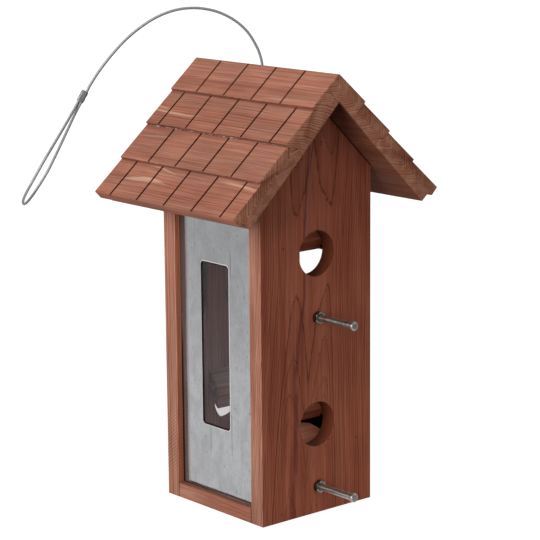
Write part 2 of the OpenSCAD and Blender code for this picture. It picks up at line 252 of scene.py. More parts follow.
def lathe(profile, at, axis, sides, shape=None, ring=False):
    """Points and faces of a turned solid: radius profile[i, 1] at height profile[i, 0] along axis
    from at, with flat ends or, for a ring, a profile that runs round to its start. Where the
    section isn't round, shape(height, angle, radius) gives the radius."""
    heights, radii = np.asarray(profile, float).T
    axis = np.asarray(axis, float)
    first = np.cross(axis, (0, 0, 1) if abs(axis[2]) < 0.9 else (1, 0, 0))
    first /= np.linalg.norm(first)
    second = np.cross(axis, first)
    round_it = np.linspace(0, 2 * math.pi, sides, endpoint=False)
    r = radii[:, None] * np.ones(sides)
    if shape:
        r = shape(heights[:, None], round_it[None, :], r)
    turn = np.cos(round_it)[:, None] * first + np.sin(round_it)[:, None] * second
    points = np.asarray(at, float) + heights[:, None, None] * axis + r[..., None] * turn
    return points.reshape(-1, 3), grid_faces(len(heights), sides, ring)


def joined(parts):
    """Several (points, faces) pairs as one."""
    points, faces, count = [], [], 0
    for some_points, some_faces in parts:
        points.append(some_points)
        faces += [[count + i for i in face] for face in some_faces]
        count += len(some_points)
    return np.concatenate(points), faces


# ---------------------------------------------------------------------------------------------
# Shader trees


def math_node(operation, swap=False):
    """A method that puts a value, with others after it or before it, through one Math node."""

    def method(self, *others):
        given = (*others, self) if swap else (self, *others)
        return self.tree.value("Math", dict(enumerate(given)), operation=operation)

    return method


class Value:
    """A socket of a tree. Its sums, products and the like are further nodes of that tree."""

    __add__, __radd__ = math_node("ADD"), math_node("ADD", True)
    __sub__, __rsub__ = math_node("SUBTRACT"), math_node("SUBTRACT", True)
    __mul__, __rmul__ = math_node("MULTIPLY"), math_node("MULTIPLY", True)
    __truediv__, __pow__, __abs__ = math_node("DIVIDE"), math_node("POWER"), math_node("ABSOLUTE")
    above, max, smooth_max = (math_node(k) for k in ("GREATER_THAN", "MAXIMUM", "SMOOTH_MAX"))
    root, sine, floor, fract = (math_node(k) for k in ("SQRT", "SINE", "FLOOR", "FRACT"))

    def __init__(self, tree, socket):
        self.tree, self.socket = tree, socket

    def span(self, low, high, to_low=0.0, to_high=1.0, smooth=True):
        """The value taken from one range to another, held at its ends."""
        return self.tree.value("MapRange", {0: self, 1: low, 2: high, 3: to_low, 4: to_high},
                               interpolation_type="SMOOTHSTEP" if smooth else "LINEAR")

    def fade(self, low, high, top=1.0):
        """The top amount up to low, falling to nothing at high."""
        return self.span(low, high, top, 0)

    def line(self, middle, half, soft):
        """One on a line of half width about a middle, falling to nothing over the soft width."""
        return abs(self - middle).fade(half, half + soft)

    def vector(self, operation, other, output=0):
        """One operation on vectors: its vector, or its number as output 1."""
        return self.tree.value("VectorMath", {0: self, 1: other}, output, operation=operation)

    def away(self, x, z, squash=1.0):
        """Distance of this place from x and z, with lengths along z shrunk."""
        return self.vector("MULTIPLY", (1, 0, squash)).vector("DISTANCE", (x, 0, z * squash), 1)

    def split(self):
        """The three parts of a vector."""
        return [Value(self.tree, part) for part in self.tree.add("SeparateXYZ", {0: self}).outputs]

    def scale(self, factor):
        """A colour times a number."""
        return self.tree.value("VectorMath", {0: self, "Scale": factor}, operation="SCALE")

    def to(self, mask, colour):
        """A colour turned into another where a mask is one."""
        return self.tree.mix(mask, self, colour)

    def times(self, mask, colour):
        """A colour multiplied by another where a mask is one."""
        return self.tree.mix(mask, self, colour, "MULTIPLY")


class Tree:
    """Adds and links nodes in one shader tree."""

    def __init__(self, tree):
        self.tree = tree
        self.tree.nodes.clear()

    def put(self, socket, value):
        """Links a value to a socket, or sets a constant on it."""
        if isinstance(value, Value):
            self.tree.links.new(value.socket, socket)
        elif socket.type == "RGBA" and len(value) == 3:
            socket.default_value = (*value, 1.0)
        else:
            socket.default_value = value

    def add(self, kind, inputs=None, **settings):
        """A node of a kind with its settings and inputs."""
        node = self.tree.nodes.new("ShaderNode" + kind)
        for key, value in settings.items():
            setattr(node, key, value)
        for key, value in (inputs or {}).items():
            self.put(node.inputs[key], value)
        return node

    def value(self, kind, inputs=None, output=0, **settings):
        """One output of a new node."""
        return Value(self, self.add(kind, inputs, **settings).outputs[output])

    def place(self):
        """The place on the object, in metres."""
        return self.value("TexCoord", None, "Object")

    def mark(self, name):
        """A number that the mesh keeps at its points."""
        return self.value("Attribute", None, "Fac", attribute_name=name)

    def noise(self, where, stretch=None, detail=2.0, roughness=0.5, warp=0.0):
        """Noise from 0 to 1 around 0.5 at a place, multiplied by the stretch."""
        place = where.vector("MULTIPLY", stretch) if stretch else where
        return self.value("TexNoise", {"Vector": place, "Scale": 1.0, "Detail": detail,
                                       "Roughness": roughness, "Distortion": warp})

    def noise_line(self, number, scale, detail):
        """Noise from 0 to 1 around 0.5 along a number."""
        return self.value("TexNoise", {"W": number, "Scale": scale, "Detail": detail},
                          noise_dimensions="1D")

    def mix(self, factor, a, b, blend="MIX"):
        """Two colours blended by a factor."""
        return self.value("Mix", {0: factor, 6: a, 7: b}, 2, data_type="RGBA", blend_type=blend)

    def blend(self, factor, a, b):
        """Two numbers blended by a factor."""
        return self.value("Mix", {0: factor, 2: a, 3: b})

    def group(self, maker, **inputs):
        """The outputs of a shared node group, its inputs by name with _ for blanks."""
        label = maker.__name__.replace("_", " ").capitalize()
        shared = bpy.data.node_groups.get(label) or maker(label)
        inputs = {key.replace("_", " "): value for key, value in inputs.items()}
        node = self.add("Group", inputs, node_tree=shared)
        return {socket.name: Value(self, socket) for socket in node.outputs}

    def surface(self, height=None, bump=0.0, **inputs):
        """The material's shader and output, with a bump from height in metres."""
        if height is not None:
            inputs["Normal"] = self.value("Bump", {"Height": height, "Distance": bump,
                                                   "Strength": 1.0})
        inputs = {key.replace("_", " "): value for key, value in inputs.items()}
        self.add("OutputMaterial", {0: self.value("BsdfPrincipled", inputs)})


def new_material(name):
    """An empty material and its tree, to be filled."""
    material = bpy.data.materials.new(name)
    material.use_nodes = True
    return material, Tree(material.node_tree)


def new_group(name, inputs, outputs):
    """A node group, its tree, its inputs and a function that sets its outputs. Inputs map names to
    defaults, three numbers for a vector and four for a colour, and outputs map names to kinds."""
    group = bpy.data.node_groups.new(name, "ShaderNodeTree")
    for label, default in inputs.items():
        kind = {3: "Vector", 4: "Color"}[len(default)] if isinstance(default, tuple) else "Float"
        group.interface.new_socket(label, in_out="INPUT", socket_type="NodeSocket" + kind
                                   ).default_value = default
    for label, kind in outputs.items():
        group.interface.new_socket(label, in_out="OUTPUT", socket_type="NodeSocket" + kind)
    tree = Tree(group)
    given = group.nodes.new("NodeGroupInput").outputs
    out = group.nodes.new("NodeGroupOutput").inputs

    def give(**values):
        """Links values to the group's outputs."""
        for label, value in values.items():
            tree.put(out[label], value)
        return group

    return tree, {socket.name: Value(tree, socket) for socket in given}, give


def board_frame(name):
    """Places a board's own axes: position in millimetres across, through and along the board, and
    masks of the faces at its ends, its edges (beyond Edge From) and its inner side."""
    t, given, give = new_group(
        name, {"Across": (1, 0, 0), "Through": (0, 1, 0), "Along": (0, 0, 1),
               "Offset": (0, 0, 0), "Edge From": -1.0},
        {"Position": "Vector", "End": "Float", "Edge": "Float", "Inner": "Float"})
    axes = [given[key] for key in ("Across", "Through", "Along")]
    place, normal = t.place(), t.value("TexCoord", None, "Normal")
    dots = [place.vector("DOT_PRODUCT", axis, 1) for axis in axes]
    place = t.value("CombineXYZ", dict(enumerate(dots)))
    place = place.vector("MULTIPLY", (1000, 1000, 1000)).vector("ADD", given["Offset"])
    across, through, along = [normal.vector("DOT_PRODUCT", axis, 1) for axis in axes]
    far = abs(place.split()[0]).above(given["Edge From"])
    return give(Position=place, End=abs(along).span(0.6, 0.8),
                Edge=far * abs(across).span(0.6, 0.8), Inner=through.fade(-0.8, -0.6))


def cedar_figure(name):
    """Growth rings, fibres, bands and clouds of cedar in a board's own millimetres.

    With q the distance across from the pith, the ring number is the root of u squared plus the
    depth squared, over the ring width, where u is q beyond the spread and 0.45 of what is left
    inside it. To q are added the folds, which bend the rings on each side of the board's middle.
    Along the board the number falls by the arch, so that rings meet in points, and noise that is
    long along the grain shakes all of it."""
    t, given, give = new_group(
        name, {"Position": (0, 0, 0), "Pith Across": -300.0, "Pith Depth": 0.0, "Spread": 0.0,
               "Lean": 0.0, "Fold At": 0.0, "Fold Out": 0.0, "Fold In": 0.0, "Arch": 0.4,
               "Arch Centre": 0.0, "Ring Width": 2.5, "Shake": 6.0, "Seed": 0.0},
        {key: "Float" for key in ("Ring", "Arc", "Fibre", "Band", "Cloud", "Height")})
    seed = t.value("CombineXYZ", {i: given["Seed"] for i in range(3)})
    place, arch, width, shake = (given[key] for key in ("Position", "Arch", "Ring Width", "Shake"))
    x, y, z = place.split()
    inside, soft = 0.45, 6.0

    def grain(where, across, along, detail=2.0, roughness=0.5):
        """Noise with these lengths across and along the grain."""
        where = where.vector("MULTIPLY", (1 / across, 1 / across, 1 / along)).vector("ADD", seed)
        return t.noise(where, None, detail, roughness)

    drift = (grain(place, 40, 150, 1.0) - 0.5) * shake
    drift = (grain(place, 9, 45) - 0.5) * (shake * 0.22) + drift
    flow = place.vector("ADD", t.value("CombineXYZ", {0: drift}))
    q = abs(x - (z * given["Lean"] + given["Pith Across"]) + drift)
    through = y - given["Fold At"]
    q = through.smooth_max(0.0, 2.0) * given["Fold Out"] + q
    q = (through * -1.0).smooth_max(0.0, 2.0) * given["Fold In"] + q
    beyond = q - given["Spread"]
    u = (beyond * -1.0).smooth_max(0.0, soft) * inside + beyond.smooth_max(0.0, soft)
    v = y - given["Pith Depth"] + drift
    distance = (grain(flow, 1.6, 26) - 0.5) * 0.8 + (u * u + v * v).root()
    along = (z - given["Arch Centre"]) / 100.0
    bend = (along * along + 0.04).root()
    number = distance / width - bend * arch
    number = t.noise_line(number, 0.23, 2.0) * 3.0 + number
    turn = number.fract()
    across = u * beyond.span(-soft, soft, inside, 1.0) / (distance * width)
    rising = along * arch / (bend * 100.0)
    left = (1.0 - turn) / (across * across + (rising * rising + 0.0001)).root()
    line = left.fade(0.45, 1.15) * left.span(0.0, 0.25)
    fall = turn.fade(0.90, 1.0)
    weight = t.noise_line(number.floor(), 0.61, 0.0).span(0.35, 0.65, 0.30, 1.0)
    ring = line.max(turn ** 3.0 * fall * 0.28) * weight
    fibre = grain(flow, 0.85, 50) * 0.6 + grain(flow, 2.1, 110) * 0.4
    band = grain(flow, 8.0, 190, roughness=0.55)
    return give(Ring=ring, Arc=turn ** 1.4 * fall, Fibre=fibre.span(0.36, 0.64, smooth=False),
                Band=band.span(0.38, 0.62), Cloud=grain(place, 30, 70),
                Height=ring * 0.6 + fibre * 0.8)


def cedar_colour(name):
    """Colours cedar: each face's own colour, moved between red and pale brown by the bands, made
    lighter and darker by clouds and fibres, and darkest in the rings' late wood."""
    t, given, give = new_group(
        name, {**{key + " Colour": (0.5, 0.3, 0.2, 1) for key in ("Face", "Edge", "End", "Inner")},
               **{key: 0.0 for key in ("Edge", "End", "Inner", "Ring", "Arc", "Fibre", "Band",
                                       "Cloud")},
               "Ring Tone": 0.6, "Fibre Tone": 0.3, "Band Tone": 1.0},
        {"Colour": "Color", "Roughness": "Float"})
    colour, end, fibre = given["Face Colour"], given["End"], given["Fibre"]
    for key in ("Inner", "Edge", "End"):
        colour = colour.to(given[key], given[key + " Colour"])
    banding = given["Band Tone"] * end.span(0, 1, 1.0, 1.5)
    red = colour.times(banding, (0.88, 0.74, 0.70))
    pale = colour.times(banding, (1.10, 1.24, 1.28))
    colour = red.to(given["Band"], pale).scale(given["Cloud"].span(0.3, 0.7, 0.90, 1.10))
    late = t.blend(end, given["Ring"] * given["Ring Tone"], given["Arc"])
    colour = colour.times(late, (0.34, 0.24, 0.22))
    amount = fibre.span(0, 1, -1, 1, smooth=False) * (given["Fibre Tone"]
                                                      * end.span(0, 1, 1.0, 0.25))
    return give(Colour=colour.scale(amount + 1.0), Roughness=fibre.span(0, 1, 0.60, 0.80))


def scaled(colour, factor):
    """A colour made lighter or darker."""
    return tuple(min(1.0, channel * factor) for channel in colour)


def cedar(name, axes, face, edge=None, end=None, inner=None, offset=(0, 0, 0), edge_from=-1.0,
          ring_tone=0.6, fibre_tone=0.3, band_tone=1.0, extra=None, marked=False, **figure):
    """A cedar board's material. axes are its directions across, through and along the grain, face,
    edge, end and inner its colours on those sides, extra a function that changes the colour by
    position, and figure the values of the growth rings. Marked boards have cuts and butts, with
    painted shade in the cuts and below the butts."""
    material, t = new_material(name)
    side = t.group(board_frame, Across=axes[0], Through=axes[1], Along=axes[2], Offset=offset,
                   Edge_From=edge_from)
    place = side.pop("Position")
    rings = t.group(cedar_figure, Position=place, **figure)
    height = rings.pop("Height")
    rings["Arc"] *= min(1.0, ring_tone / 0.55)
    wood = t.group(cedar_colour, Ring_Tone=ring_tone, Fibre_Tone=fibre_tone, Band_Tone=band_tone,
                   Face_Colour=face, Edge_Colour=edge or face, End_Colour=end or face,
                   Inner_Colour=inner or face, **side, **rings)
    colour = wood["Colour"]
    if extra:
        colour = extra(colour, place)
    if marked:
        # Painted shade below each butt and on its face, from the under attribute
        colour = colour.times(t.mark("under") * 0.75, (0.32, 0.20, 0.18))
        # Painted shade in the saw cuts: near black, a little browner in the top course
        sawn = t.mix(place.split()[0].span(22, 28), (0.085, 0.026, 0.014), (0.036, 0.008, 0.004))
        colour = colour.to(t.mark("cut"), sawn)
    t.surface(height, 0.00012, Base_Color=colour, Roughness=wood["Roughness"],
              Specular_IOR_Level=0.05)
    return material


X, Y, Z = (1, 0, 0), (0, 1, 0), (0, 0, 1)
UPRIGHT, LENGTHWISE, CROSSWISE = (X, Y, Z), (X, Z, Y), (Y, Z, X)


def slope_axes(side, pitch):
    """Axes of a board on one slope: down the slope, out of it, and along the ridge."""
    c, s = math.cos(pitch), math.sin(pitch)
    return (side * c, 0, -s), (side * s, 0, c), Y


def wire_metal(name, colour, roughness, strands):
    """Wire rope: its wires show as fine stripes that turn against the strands, from the tube's
    own attributes along and round, and the valleys between the strands have painted shade."""
    material, t = new_material(name)
    wires, turns = 3.0, 2.3
    phase = t.mark("along") * -turns + t.mark("around") * (strands * wires)
    stripe = abs((phase * math.pi).sine())
    tint = t.mix(stripe * 0.25, colour, scaled(colour, 0.60))
    # Painted shade in the valleys between the strands
    tint = tint.to(t.mark("valley"), scaled(colour, 0.55))
    t.surface(stripe, 0.00003, Base_Color=tint, Metallic=1.0, Roughness=roughness)
    return material


def bright_steel(name, colour, roughness, fineness=300, axes=(), turned=0.0):
    """Turned or plated steel: the tint and the gloss vary in soft spots, and the metal is darker
    round its bore, where axes gives the heights of the bores along Y. Steel turned about Y spreads
    its shine along Y and has painted shade at its outer end."""
    material, t = new_material(name)
    where = t.place()
    spots = t.noise(where, (fineness,) * 3, 3.0)
    tint = t.mix(spots.span(0.42, 0.68), colour, scaled(colour, 0.78))
    for z in axes:
        tint = tint.to(where.away(0, z * MM).fade(0.0030, 0.0046, 0.9), (0.04, 0.032, 0.03))
    grooves = {}
    if turned:
        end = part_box("perch_back_upper")[1][1]
        # Painted shade: the rod darker at its outer end
        tint = tint.to(abs(where.split()[1]).span(end - 0.0012, end - 0.0002, 0.0, 0.8),
                       scaled(colour, 0.35))
        grooves = {"Anisotropic": turned, "Anisotropic_Rotation": 0.25,
                   "Tangent": t.value("Tangent", direction_type="RADIAL", axis="Y")}
    rough = spots.span(0.3, 0.7, roughness * 0.8, roughness * 1.25, smooth=False)
    t.surface(Base_Color=tint, Metallic=1.0, Roughness=rough, **grooves)
    return material


def galvanised(name, colour, ledge, wall):
    """Galvanised sheet: soft mottling, dark specks, upright scratches, three drawn scratches,
    painted shade towards the top, a painted highlight on the cut edge round the slot from the
    attribute rim, painted shade on the cut's inner part from the attribute dark, a painted shadow
    in the gap of its grooves, a painted glint beside the front one and a painted reflection of the
    wood, a brown margin, before the back one. ledge and wall are where the sheet goes into the
    floor and the walls, in metres."""
    material, t = new_material(name)
    where = t.place()
    _, y, z = where.split()
    mottle = t.noise(where, (70, 70, 45), 5.0, 0.65, 0.5)
    fine = t.noise(where, (420, 420, 300), 3.0, 0.6)
    scratch = t.noise(where, (700, 700, 12), 2.0, 0.6).span(0.64, 0.72)
    speck = t.noise(where, (330, 330, 240)).span(0.66, 0.72)
    tint = t.mix(mottle.span(0.32, 0.68), scaled(colour, 0.90), scaled(colour, 1.10))
    # Painted shade: the sheet darker towards the top
    tint = tint.scale(z.span(0.08, 0.30, 1.08, 0.80))
    for mask, tone in ((fine.span(0.45, 0.75, 0.0, 0.18), 0.55), (scratch * 0.30, 0.45),
                       (speck * 0.55, 0.22)):
        tint = tint.to(mask, scaled(colour, tone))
    for at, low, high in ((-0.0212, 0.233, 0.258), (-0.0203, 0.057, 0.100), (0.0122, 0.055, 0.082)):
        reach = z.line((low + high) / 2, (high - low) / 2 - 0.004, 0.006)
        tint = tint.to(y.line(at, 0.00015, 0.0004) * reach * 0.75, (0.06, 0.05, 0.05))
    # Painted shadow in the gaps of the grooves at the floor and the walls, wider before the back
    # groove and weaker higher up
    ledge_shadow = z.fade(ledge + 0.0007, ledge + 0.0015) * y.span(-0.045, 0.030, 0.45, 1.0)
    gap = abs(y).span(wall - 0.0015, wall - 0.0009).max(ledge_shadow)
    gap = gap.max(y.span(wall - 0.0030, wall - 0.0020)) * z.span(0.15, 0.20, 1.0, 0.35)
    # Painted highlight on the cut edge round the slot, from the rim attribute
    rim_highlight = t.mark("rim").span(0.35, 0.65)
    glint = y.line(0.0024 - wall, 0.0002, 0.0006) * z.span(0.22, 0.31, 0.0, 0.8)
    # Painted reflection of the wood: a brown margin, not metal, before the back groove
    dust_and_painted_light = y.span(wall - 0.0125, wall - 0.0085, 0.0, 0.25)
    shade = gap.max(t.mark("dark").span(0.35, 0.65))
    for mask, over in ((rim_highlight, (0.66, 0.61, 0.60)), (glint, (0.95, 0.94, 0.94)),
                       (dust_and_painted_light * 2.0, (0.20, 0.12, 0.105)), (shade, (0.008, 0.006, 0.006))):
        tint = tint.to(mask, over)
    plain = shade.max(rim_highlight)
    t.surface(t.noise(where, (60, 60, 22), 1.0), 0.0004, Base_Color=tint,
              Metallic=1.0 - dust_and_painted_light.max(plain), Specular_IOR_Level=0.15,
              Roughness=mottle.span(0.3, 0.7, 0.09, 0.16, smooth=False).max(plain * 0.6))
    return material


def clear_sheet(name, clean, dust_and_painted_light):
    """Clear plastic with a haze of dust between two tints, fine rubbing in its gloss, and a painted
    shadow, a dark line, where the metal's cut edge stands over it."""
    material, t = new_material(name)
    where = t.place()
    haze, rub = t.noise(where, (40, 40, 22), 4.0), t.noise(where, (900, 900, 40))
    middle, half = (SLOT_LOW + SLOT_HIGH) * MM / 2, (SLOT_HIGH - SLOT_LOW) * MM / 2
    near = [abs(part - m) - h for part, m, h in zip(where.split()[1:], middle, half)]
    # Painted shadow near the slot's edges
    edge = near[0].smooth_max(near[1], 0.003).span(-0.0019, -0.0010)
    t.surface(Base_Color=t.mix(haze, clean, dust_and_painted_light).to(edge, (0.02, 0.016, 0.018)),
              Roughness=rub * 0.03 + haze.span(0.4, 0.7, 0.0, 0.05),
              Transmission_Weight=0.985, IOR=1.18)
    return material


def plain_glue(name):
    """Dried glue beads: glossy and milky."""
    material, t = new_material(name)
    milky = t.noise(t.place(), (400, 250, 400))
    tint = t.mix(milky.span(0.45, 0.6), (0.16, 0.08, 0.07), (0.42, 0.33, 0.33))
    t.surface(milky, 0.0002, Base_Color=tint, Roughness=0.22)
    return material


def dark_iron(name):
    """Heads of brads, sunk and dark."""
    material, t = new_material(name)
    rust = t.noise(t.place(), (900, 900, 900))
    t.surface(Base_Color=t.mix(rust, (0.018, 0.009, 0.008), (0.06, 0.03, 0.025)), Metallic=0.3,
              Roughness=0.6)
    return material


# ---------------------------------------------------------------------------------------------
# Cable


# The rope's route, as in the CAD source: along its heading, up from the ridge, and to the left
CABLE_ROUTE = np.array([
    (0, 0, 0), (1.3, 6.7, 0), (4.9, 16.7, 0), (13.6, 31.1, 0), (25.8, 42.3, 0), (41, 50.2, 0),
    (57.1, 54, 0), (72.6, 54.2, 0), (87.4, 51.3, 0), (101.9, 45.3, 0), (115.4, 36.9, 0),
    (129, 26.1, 0), (142.8, 11.9, 0), (155.7, -4, 0), (164.3, -16.6, 0), (168.6, -24.2, 0),
    (174.9, -35.5, 0), (179.6, -43.9, -2), (184.6, -53.6, -5), (192.3, -69.2, -9.5),
    (200.4, -85.4, -13.5), (208.7, -101.5, -16), (215.9, -113.4, -16.5), (223.5, -124.7, -13.8),
    (228.7, -131.3, -8.5), (232.4, -133.9, -1.5), (232.9, -130, 5.5), (229.7, -122.4, 11),
    (222.6, -110, 15.5), (210.1, -88.6, 16), (200.9, -73.8, 12), (191.8, -59.1, 7),
    (185.3, -48.3, 3.2), (181.6, -42, 1.2), (177.2, -34.2, 0), (171.6, -23.9, 0)]) * MM
CABLE_TURN = math.radians(140)
FERRULE_AT = (173.0, -29.3)
FERRULE_TILT = math.radians(61)


def hidden_cable():
    """Y, lowest z and highest z of the cable's hidden stretch."""
    low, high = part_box("cable_inner")
    return (low[1] + high[1]) / 2, low[2], high[2]


def placed(route):
    """Points of the route turned to the rope's heading and set on the ridge hole."""
    middle, _, top = hidden_cable()
    r, up, left = np.asarray(route, float).T
    c, s = math.cos(CABLE_TURN), math.sin(CABLE_TURN)
    return np.stack([r * c - left * s, middle + r * s + left * c, top + up], 1)


def smooth_route(points, spacing):
    """A curve through the points at an even spacing: between two points it is the cubic set by
    them and their neighbours, then it is walked at equal steps of length."""
    held = np.concatenate([points[:1], points, points[-1:]])
    a, b, c, d = held[:-3, None], held[1:-2, None], held[2:-1, None], held[3:, None]
    u = np.linspace(0, 1, 40, endpoint=False)[None, :, None]
    fine = 0.5 * (2 * b + u * (c - a) + u**2 * (2 * a - 5 * b + 4 * c - d)
                  + u**3 * (3 * b - a - 3 * c + d))
    fine = np.concatenate([fine.reshape(-1, 3), points[-1:]])
    walked = np.concatenate([[0], np.cumsum(np.linalg.norm(np.diff(fine, axis=0), axis=1))])
    even = np.linspace(0, walked[-1], int(round(walked[-1] / spacing)) + 1)
    return np.stack([np.interp(even, walked, fine[:, k]) for k in range(3)], 1), walked[-1]


def rope_piece(name, path, material):
    """Wire rope along a path: the radius is R (1.05 + 0.08 |cos(n w / 2)|^0.8) at angle w, turned
    by one turn in each lay, so n strands wind round it."""
    sizes = bpy.context.scene.feeder_sizes
    sides = 6 * sizes.strands
    around = np.linspace(0, 2 * math.pi, sides, endpoint=False)
    along = np.arange(len(path)) * np.linalg.norm(path[1] - path[0]) / sizes.lay
    wound = around[None, :] - 2 * math.pi * along[:, None]
    crown = np.abs(np.cos(sizes.strands * wound / 2)) ** 0.8
    points, faces = tube(path, sizes.rope / 2 * (1.05 + 0.08 * crown), sides)
    marks = {"along": np.repeat(along, sides), "valley": (1 - crown).ravel() ** 2,
             "around": np.tile(around / (2 * math.pi), len(path))}
    return make_piece(name, points, faces, material, 60, marks)


class FEEDER_OT_cable(bpy.types.Operator):
    """Make the wire rope, its hidden stretch and the loop's ferrule"""

    bl_idname = "feeder.cable"
    bl_label = "Cable"

    def execute(self, context):
        sizes = context.scene.feeder_sizes
        metal = wire_metal("wire_rope", (0.31, 0.315, 0.31), 0.50, sizes.strands)
        path, length = smooth_route(placed(CABLE_ROUTE), 0.0005)
        rope = stand_for(rope_piece("wire_rope", path, metal), "hanging_cable")
        middle, low, high = hidden_cable()
        rise = np.linspace(low, high, 150)
        inner = rope_piece("wire_rope_inside", np.stack([0 * rise, 0 * rise + middle, rise], 1),
                           metal)
        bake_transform(inner)
        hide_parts("cable_inner")
        ferrule = stand_for(self.ferrule(), "loop_ferrule")
        return {"FINISHED"}

    def ferrule(self):
        """A sleeve pressed on two strands: its section is the smooth outline of two circles side
        by side, scaled along its length by 1 less two shallow press marks, with rounded ends."""
        half, reach, thick = 6.0 * MM, 1.35 * MM, 2.0 * MM
        around = np.linspace(0, 2 * math.pi, 48, endpoint=False)
        c, s = np.cos(around), np.sin(around)
        wide = reach * np.sign(c) * np.abs(c) ** 0.35 + thick * c
        high = thick * s * (1 - 0.10 * np.exp(-(c / 0.35) ** 2))
        end = np.array([0.0, 0.10, 0.22, 0.4]) * MM
        along = np.concatenate([-half + end, np.linspace(-half + 0.9 * MM, half - 0.9 * MM, 30),
                                half - end[::-1]])
        gap = np.minimum(half - along, along + half) / MM
        shape = 1 - 0.30 * np.maximum(0, 1 - gap / 0.45) ** 2
        press = 1 - 0.09 * sum(np.exp(-((along - at * MM) / (1.1 * MM)) ** 2) for at in (-2.6, 2.6))
        lean = math.pi / 2 + FERRULE_TILT
        across = np.array([math.cos(lean), -math.sin(lean), 0])
        axis = np.array([math.sin(lean), math.cos(lean), 0])
        route = (np.array([*FERRULE_AT, 0]) * MM + along[:, None, None] * axis
                 + (wide * (shape * (2 - press))[:, None])[..., None] * across
                 + (high * (shape * press)[:, None])[..., None] * np.array(Z))
        return make_piece("pressed_ferrule", placed(route.reshape(-1, 3)),
                          grid_faces(len(along), len(around)),
                          bright_steel("pressed_sleeve", (0.21, 0.21, 0.215), 0.50), 50)


# ---------------------------------------------------------------------------------------------
# Roof


class RoofShape:
    """The roof's section in millimetres: s runs down a slope from the gables' peak, t out of it."""

    def __init__(self, sizes):
        self.pitch = sizes.pitch
        self.c, self.n = math.cos(self.pitch), math.sin(self.pitch)
        self.peak = box_mm("front_wall")[1][2] + sizes.seat / MM / self.c
        self.board, self.rise = sizes.board / MM, sizes.rise / MM
        self.butt = self.board + self.rise
        self.course = sizes.course / MM
        self.ridge_s = -self.board * math.tan(self.pitch)
        self.half = box_mm("roof_left_upper")[1][1]
        self.cut, self.pitch_y = sizes.cut_width / MM, sizes.cut_pitch / MM

    def butt_s(self, k):
        """Length down the slope to the butt of course k."""
        return self.ridge_s + k * self.course

    def top_t(self, k, s):
        """Thickness on course k at s, which grows evenly to the butt."""
        return self.board + self.rise * (s - self.butt_s(k - 1)) / self.course

    def at(self, side, s, t):
        """Section point (x, z) of slope side at s and t."""
        return np.stack([side * (s * self.c + t * self.n), self.peak - s * self.n + t * self.c], -1)

    def local(self, side, xz):
        """s and t of section points for slope side."""
        x, drop = side * xz[..., 0], self.peak - xz[..., 1]
        return x * self.c + drop * self.n, x * self.n - drop * self.c

    def lower_edge(self, k, gap=0.0):
        """Lip and rabbet under the butt of course k, from the inner face out, with roundings."""
        s, rabbet, floor, lip = self.butt_s(k) + gap, 6.0, 9.3 - gap, 12.2 - gap
        return [(s - rabbet - 0.8, 0, 0.5), (s - rabbet, floor, 0.4), (s - 0.3, lip, 0.5)]

    def sections(self):
        """Corners (x, z, rounding) of each roof board. glue is the gap at a joint, slant what a
        butt leans over, lap and tight the overlap and gap at the ridge, ridge_t its rabbet."""
        glue, slant, lap, tight, ridge_t = 0.3, 0.3, 6.0, 0.05, 13.0

        def on(side, corners):
            return [(*self.at(side, s, t), r) for s, t, r in corners]

        boards = {}
        for side, label in ((-1, "left"), (1, "right")):
            boards[label + "_lower"] = on(side, self.lower_edge(4) + [
                (self.butt_s(4), self.butt, 1.0), (self.butt_s(3) + slant, self.board, 0.2),
                (self.butt_s(3), self.butt, 0.6), (self.butt_s(2) + glue, self.board, 0.2)]
                + self.lower_edge(2, glue)[::-1])
        skirt = [(self.butt_s(2), self.butt, 0.6), (self.butt_s(1) + slant, self.board, 0.2),
                 (self.butt_s(1), self.butt, 0.6)]
        boards["left_upper"] = on(-1, [(tight, 0, 0.1)] + self.lower_edge(2) + skirt + [
            (lap + tight, self.top_t(1, lap + tight), 0.15), (tight, ridge_t, 0.2)])
        near = self.ridge_s + 1.2
        boards["right_upper"] = on(1, self.lower_edge(2) + skirt + [
            (near, self.top_t(1, near), 1.0)]) + on(-1, [
                (near, self.top_t(1, near), 1.0), (lap, self.top_t(1, lap), 0.15),
                (0, ridge_t, 0.2), (0, 0, 0.1)])
        return boards

    def cut_lines(self, k):
        """Y of the saw cuts of course k, from the roof's back end."""
        first = (40 if k % 2 else 20.5) + (4.5 if k > 2 else 0)
        return self.half - np.arange(first, 2 * self.half - self.pitch_y / 4, self.pitch_y)


def rounded_outline(corners, spacing, inward=0.0):
    """A closed outline, moved inward with mitred corners. Each corner is replaced by a quadratic
    curve of its rounding, and the long sides are divided to the spacing of the unmoved outline, so
    that outlines moved by different amounts have matching points."""
    corners = np.asarray(corners, float)
    points = corners[:, :2]
    ahead = np.roll(points, -1, 0) - points
    length = np.linalg.norm(ahead, axis=1)
    ahead /= length[:, None]
    x, z = points.T
    turn = math.copysign(1, np.sum(x * np.roll(z, -1) - z * np.roll(x, -1)))
    normal = turn * np.stack([-ahead[:, 1], ahead[:, 0]], 1)
    before, last = np.roll(normal, 1, 0), np.roll(length, 1)
    moved = points + inward * (normal + before) / (1 + (normal * before).sum(1))[:, None]
    r = np.minimum(corners[:, 2], 0.45 * np.minimum(length, last))
    start, end = moved - np.roll(ahead, 1, 0) * r[:, None], moved + ahead * r[:, None]
    outline = []
    for i, p in enumerate(moved):
        u = np.linspace(0, 1, 5 if corners[i, 2] > 0.3 else 3)[:, None]
        outline.append((1 - u) ** 2 * start[i] + 2 * u * (1 - u) * p + u * u * end[i])
        after = (i + 1) % len(moved)
        parts = max(1, int((length[i] - r[i] - r[after]) // spacing))
        share = np.arange(1, parts)[:, None] / parts
        outline.append(end[i] + (start[after] - end[i]) * share)
    return np.concatenate(outline)


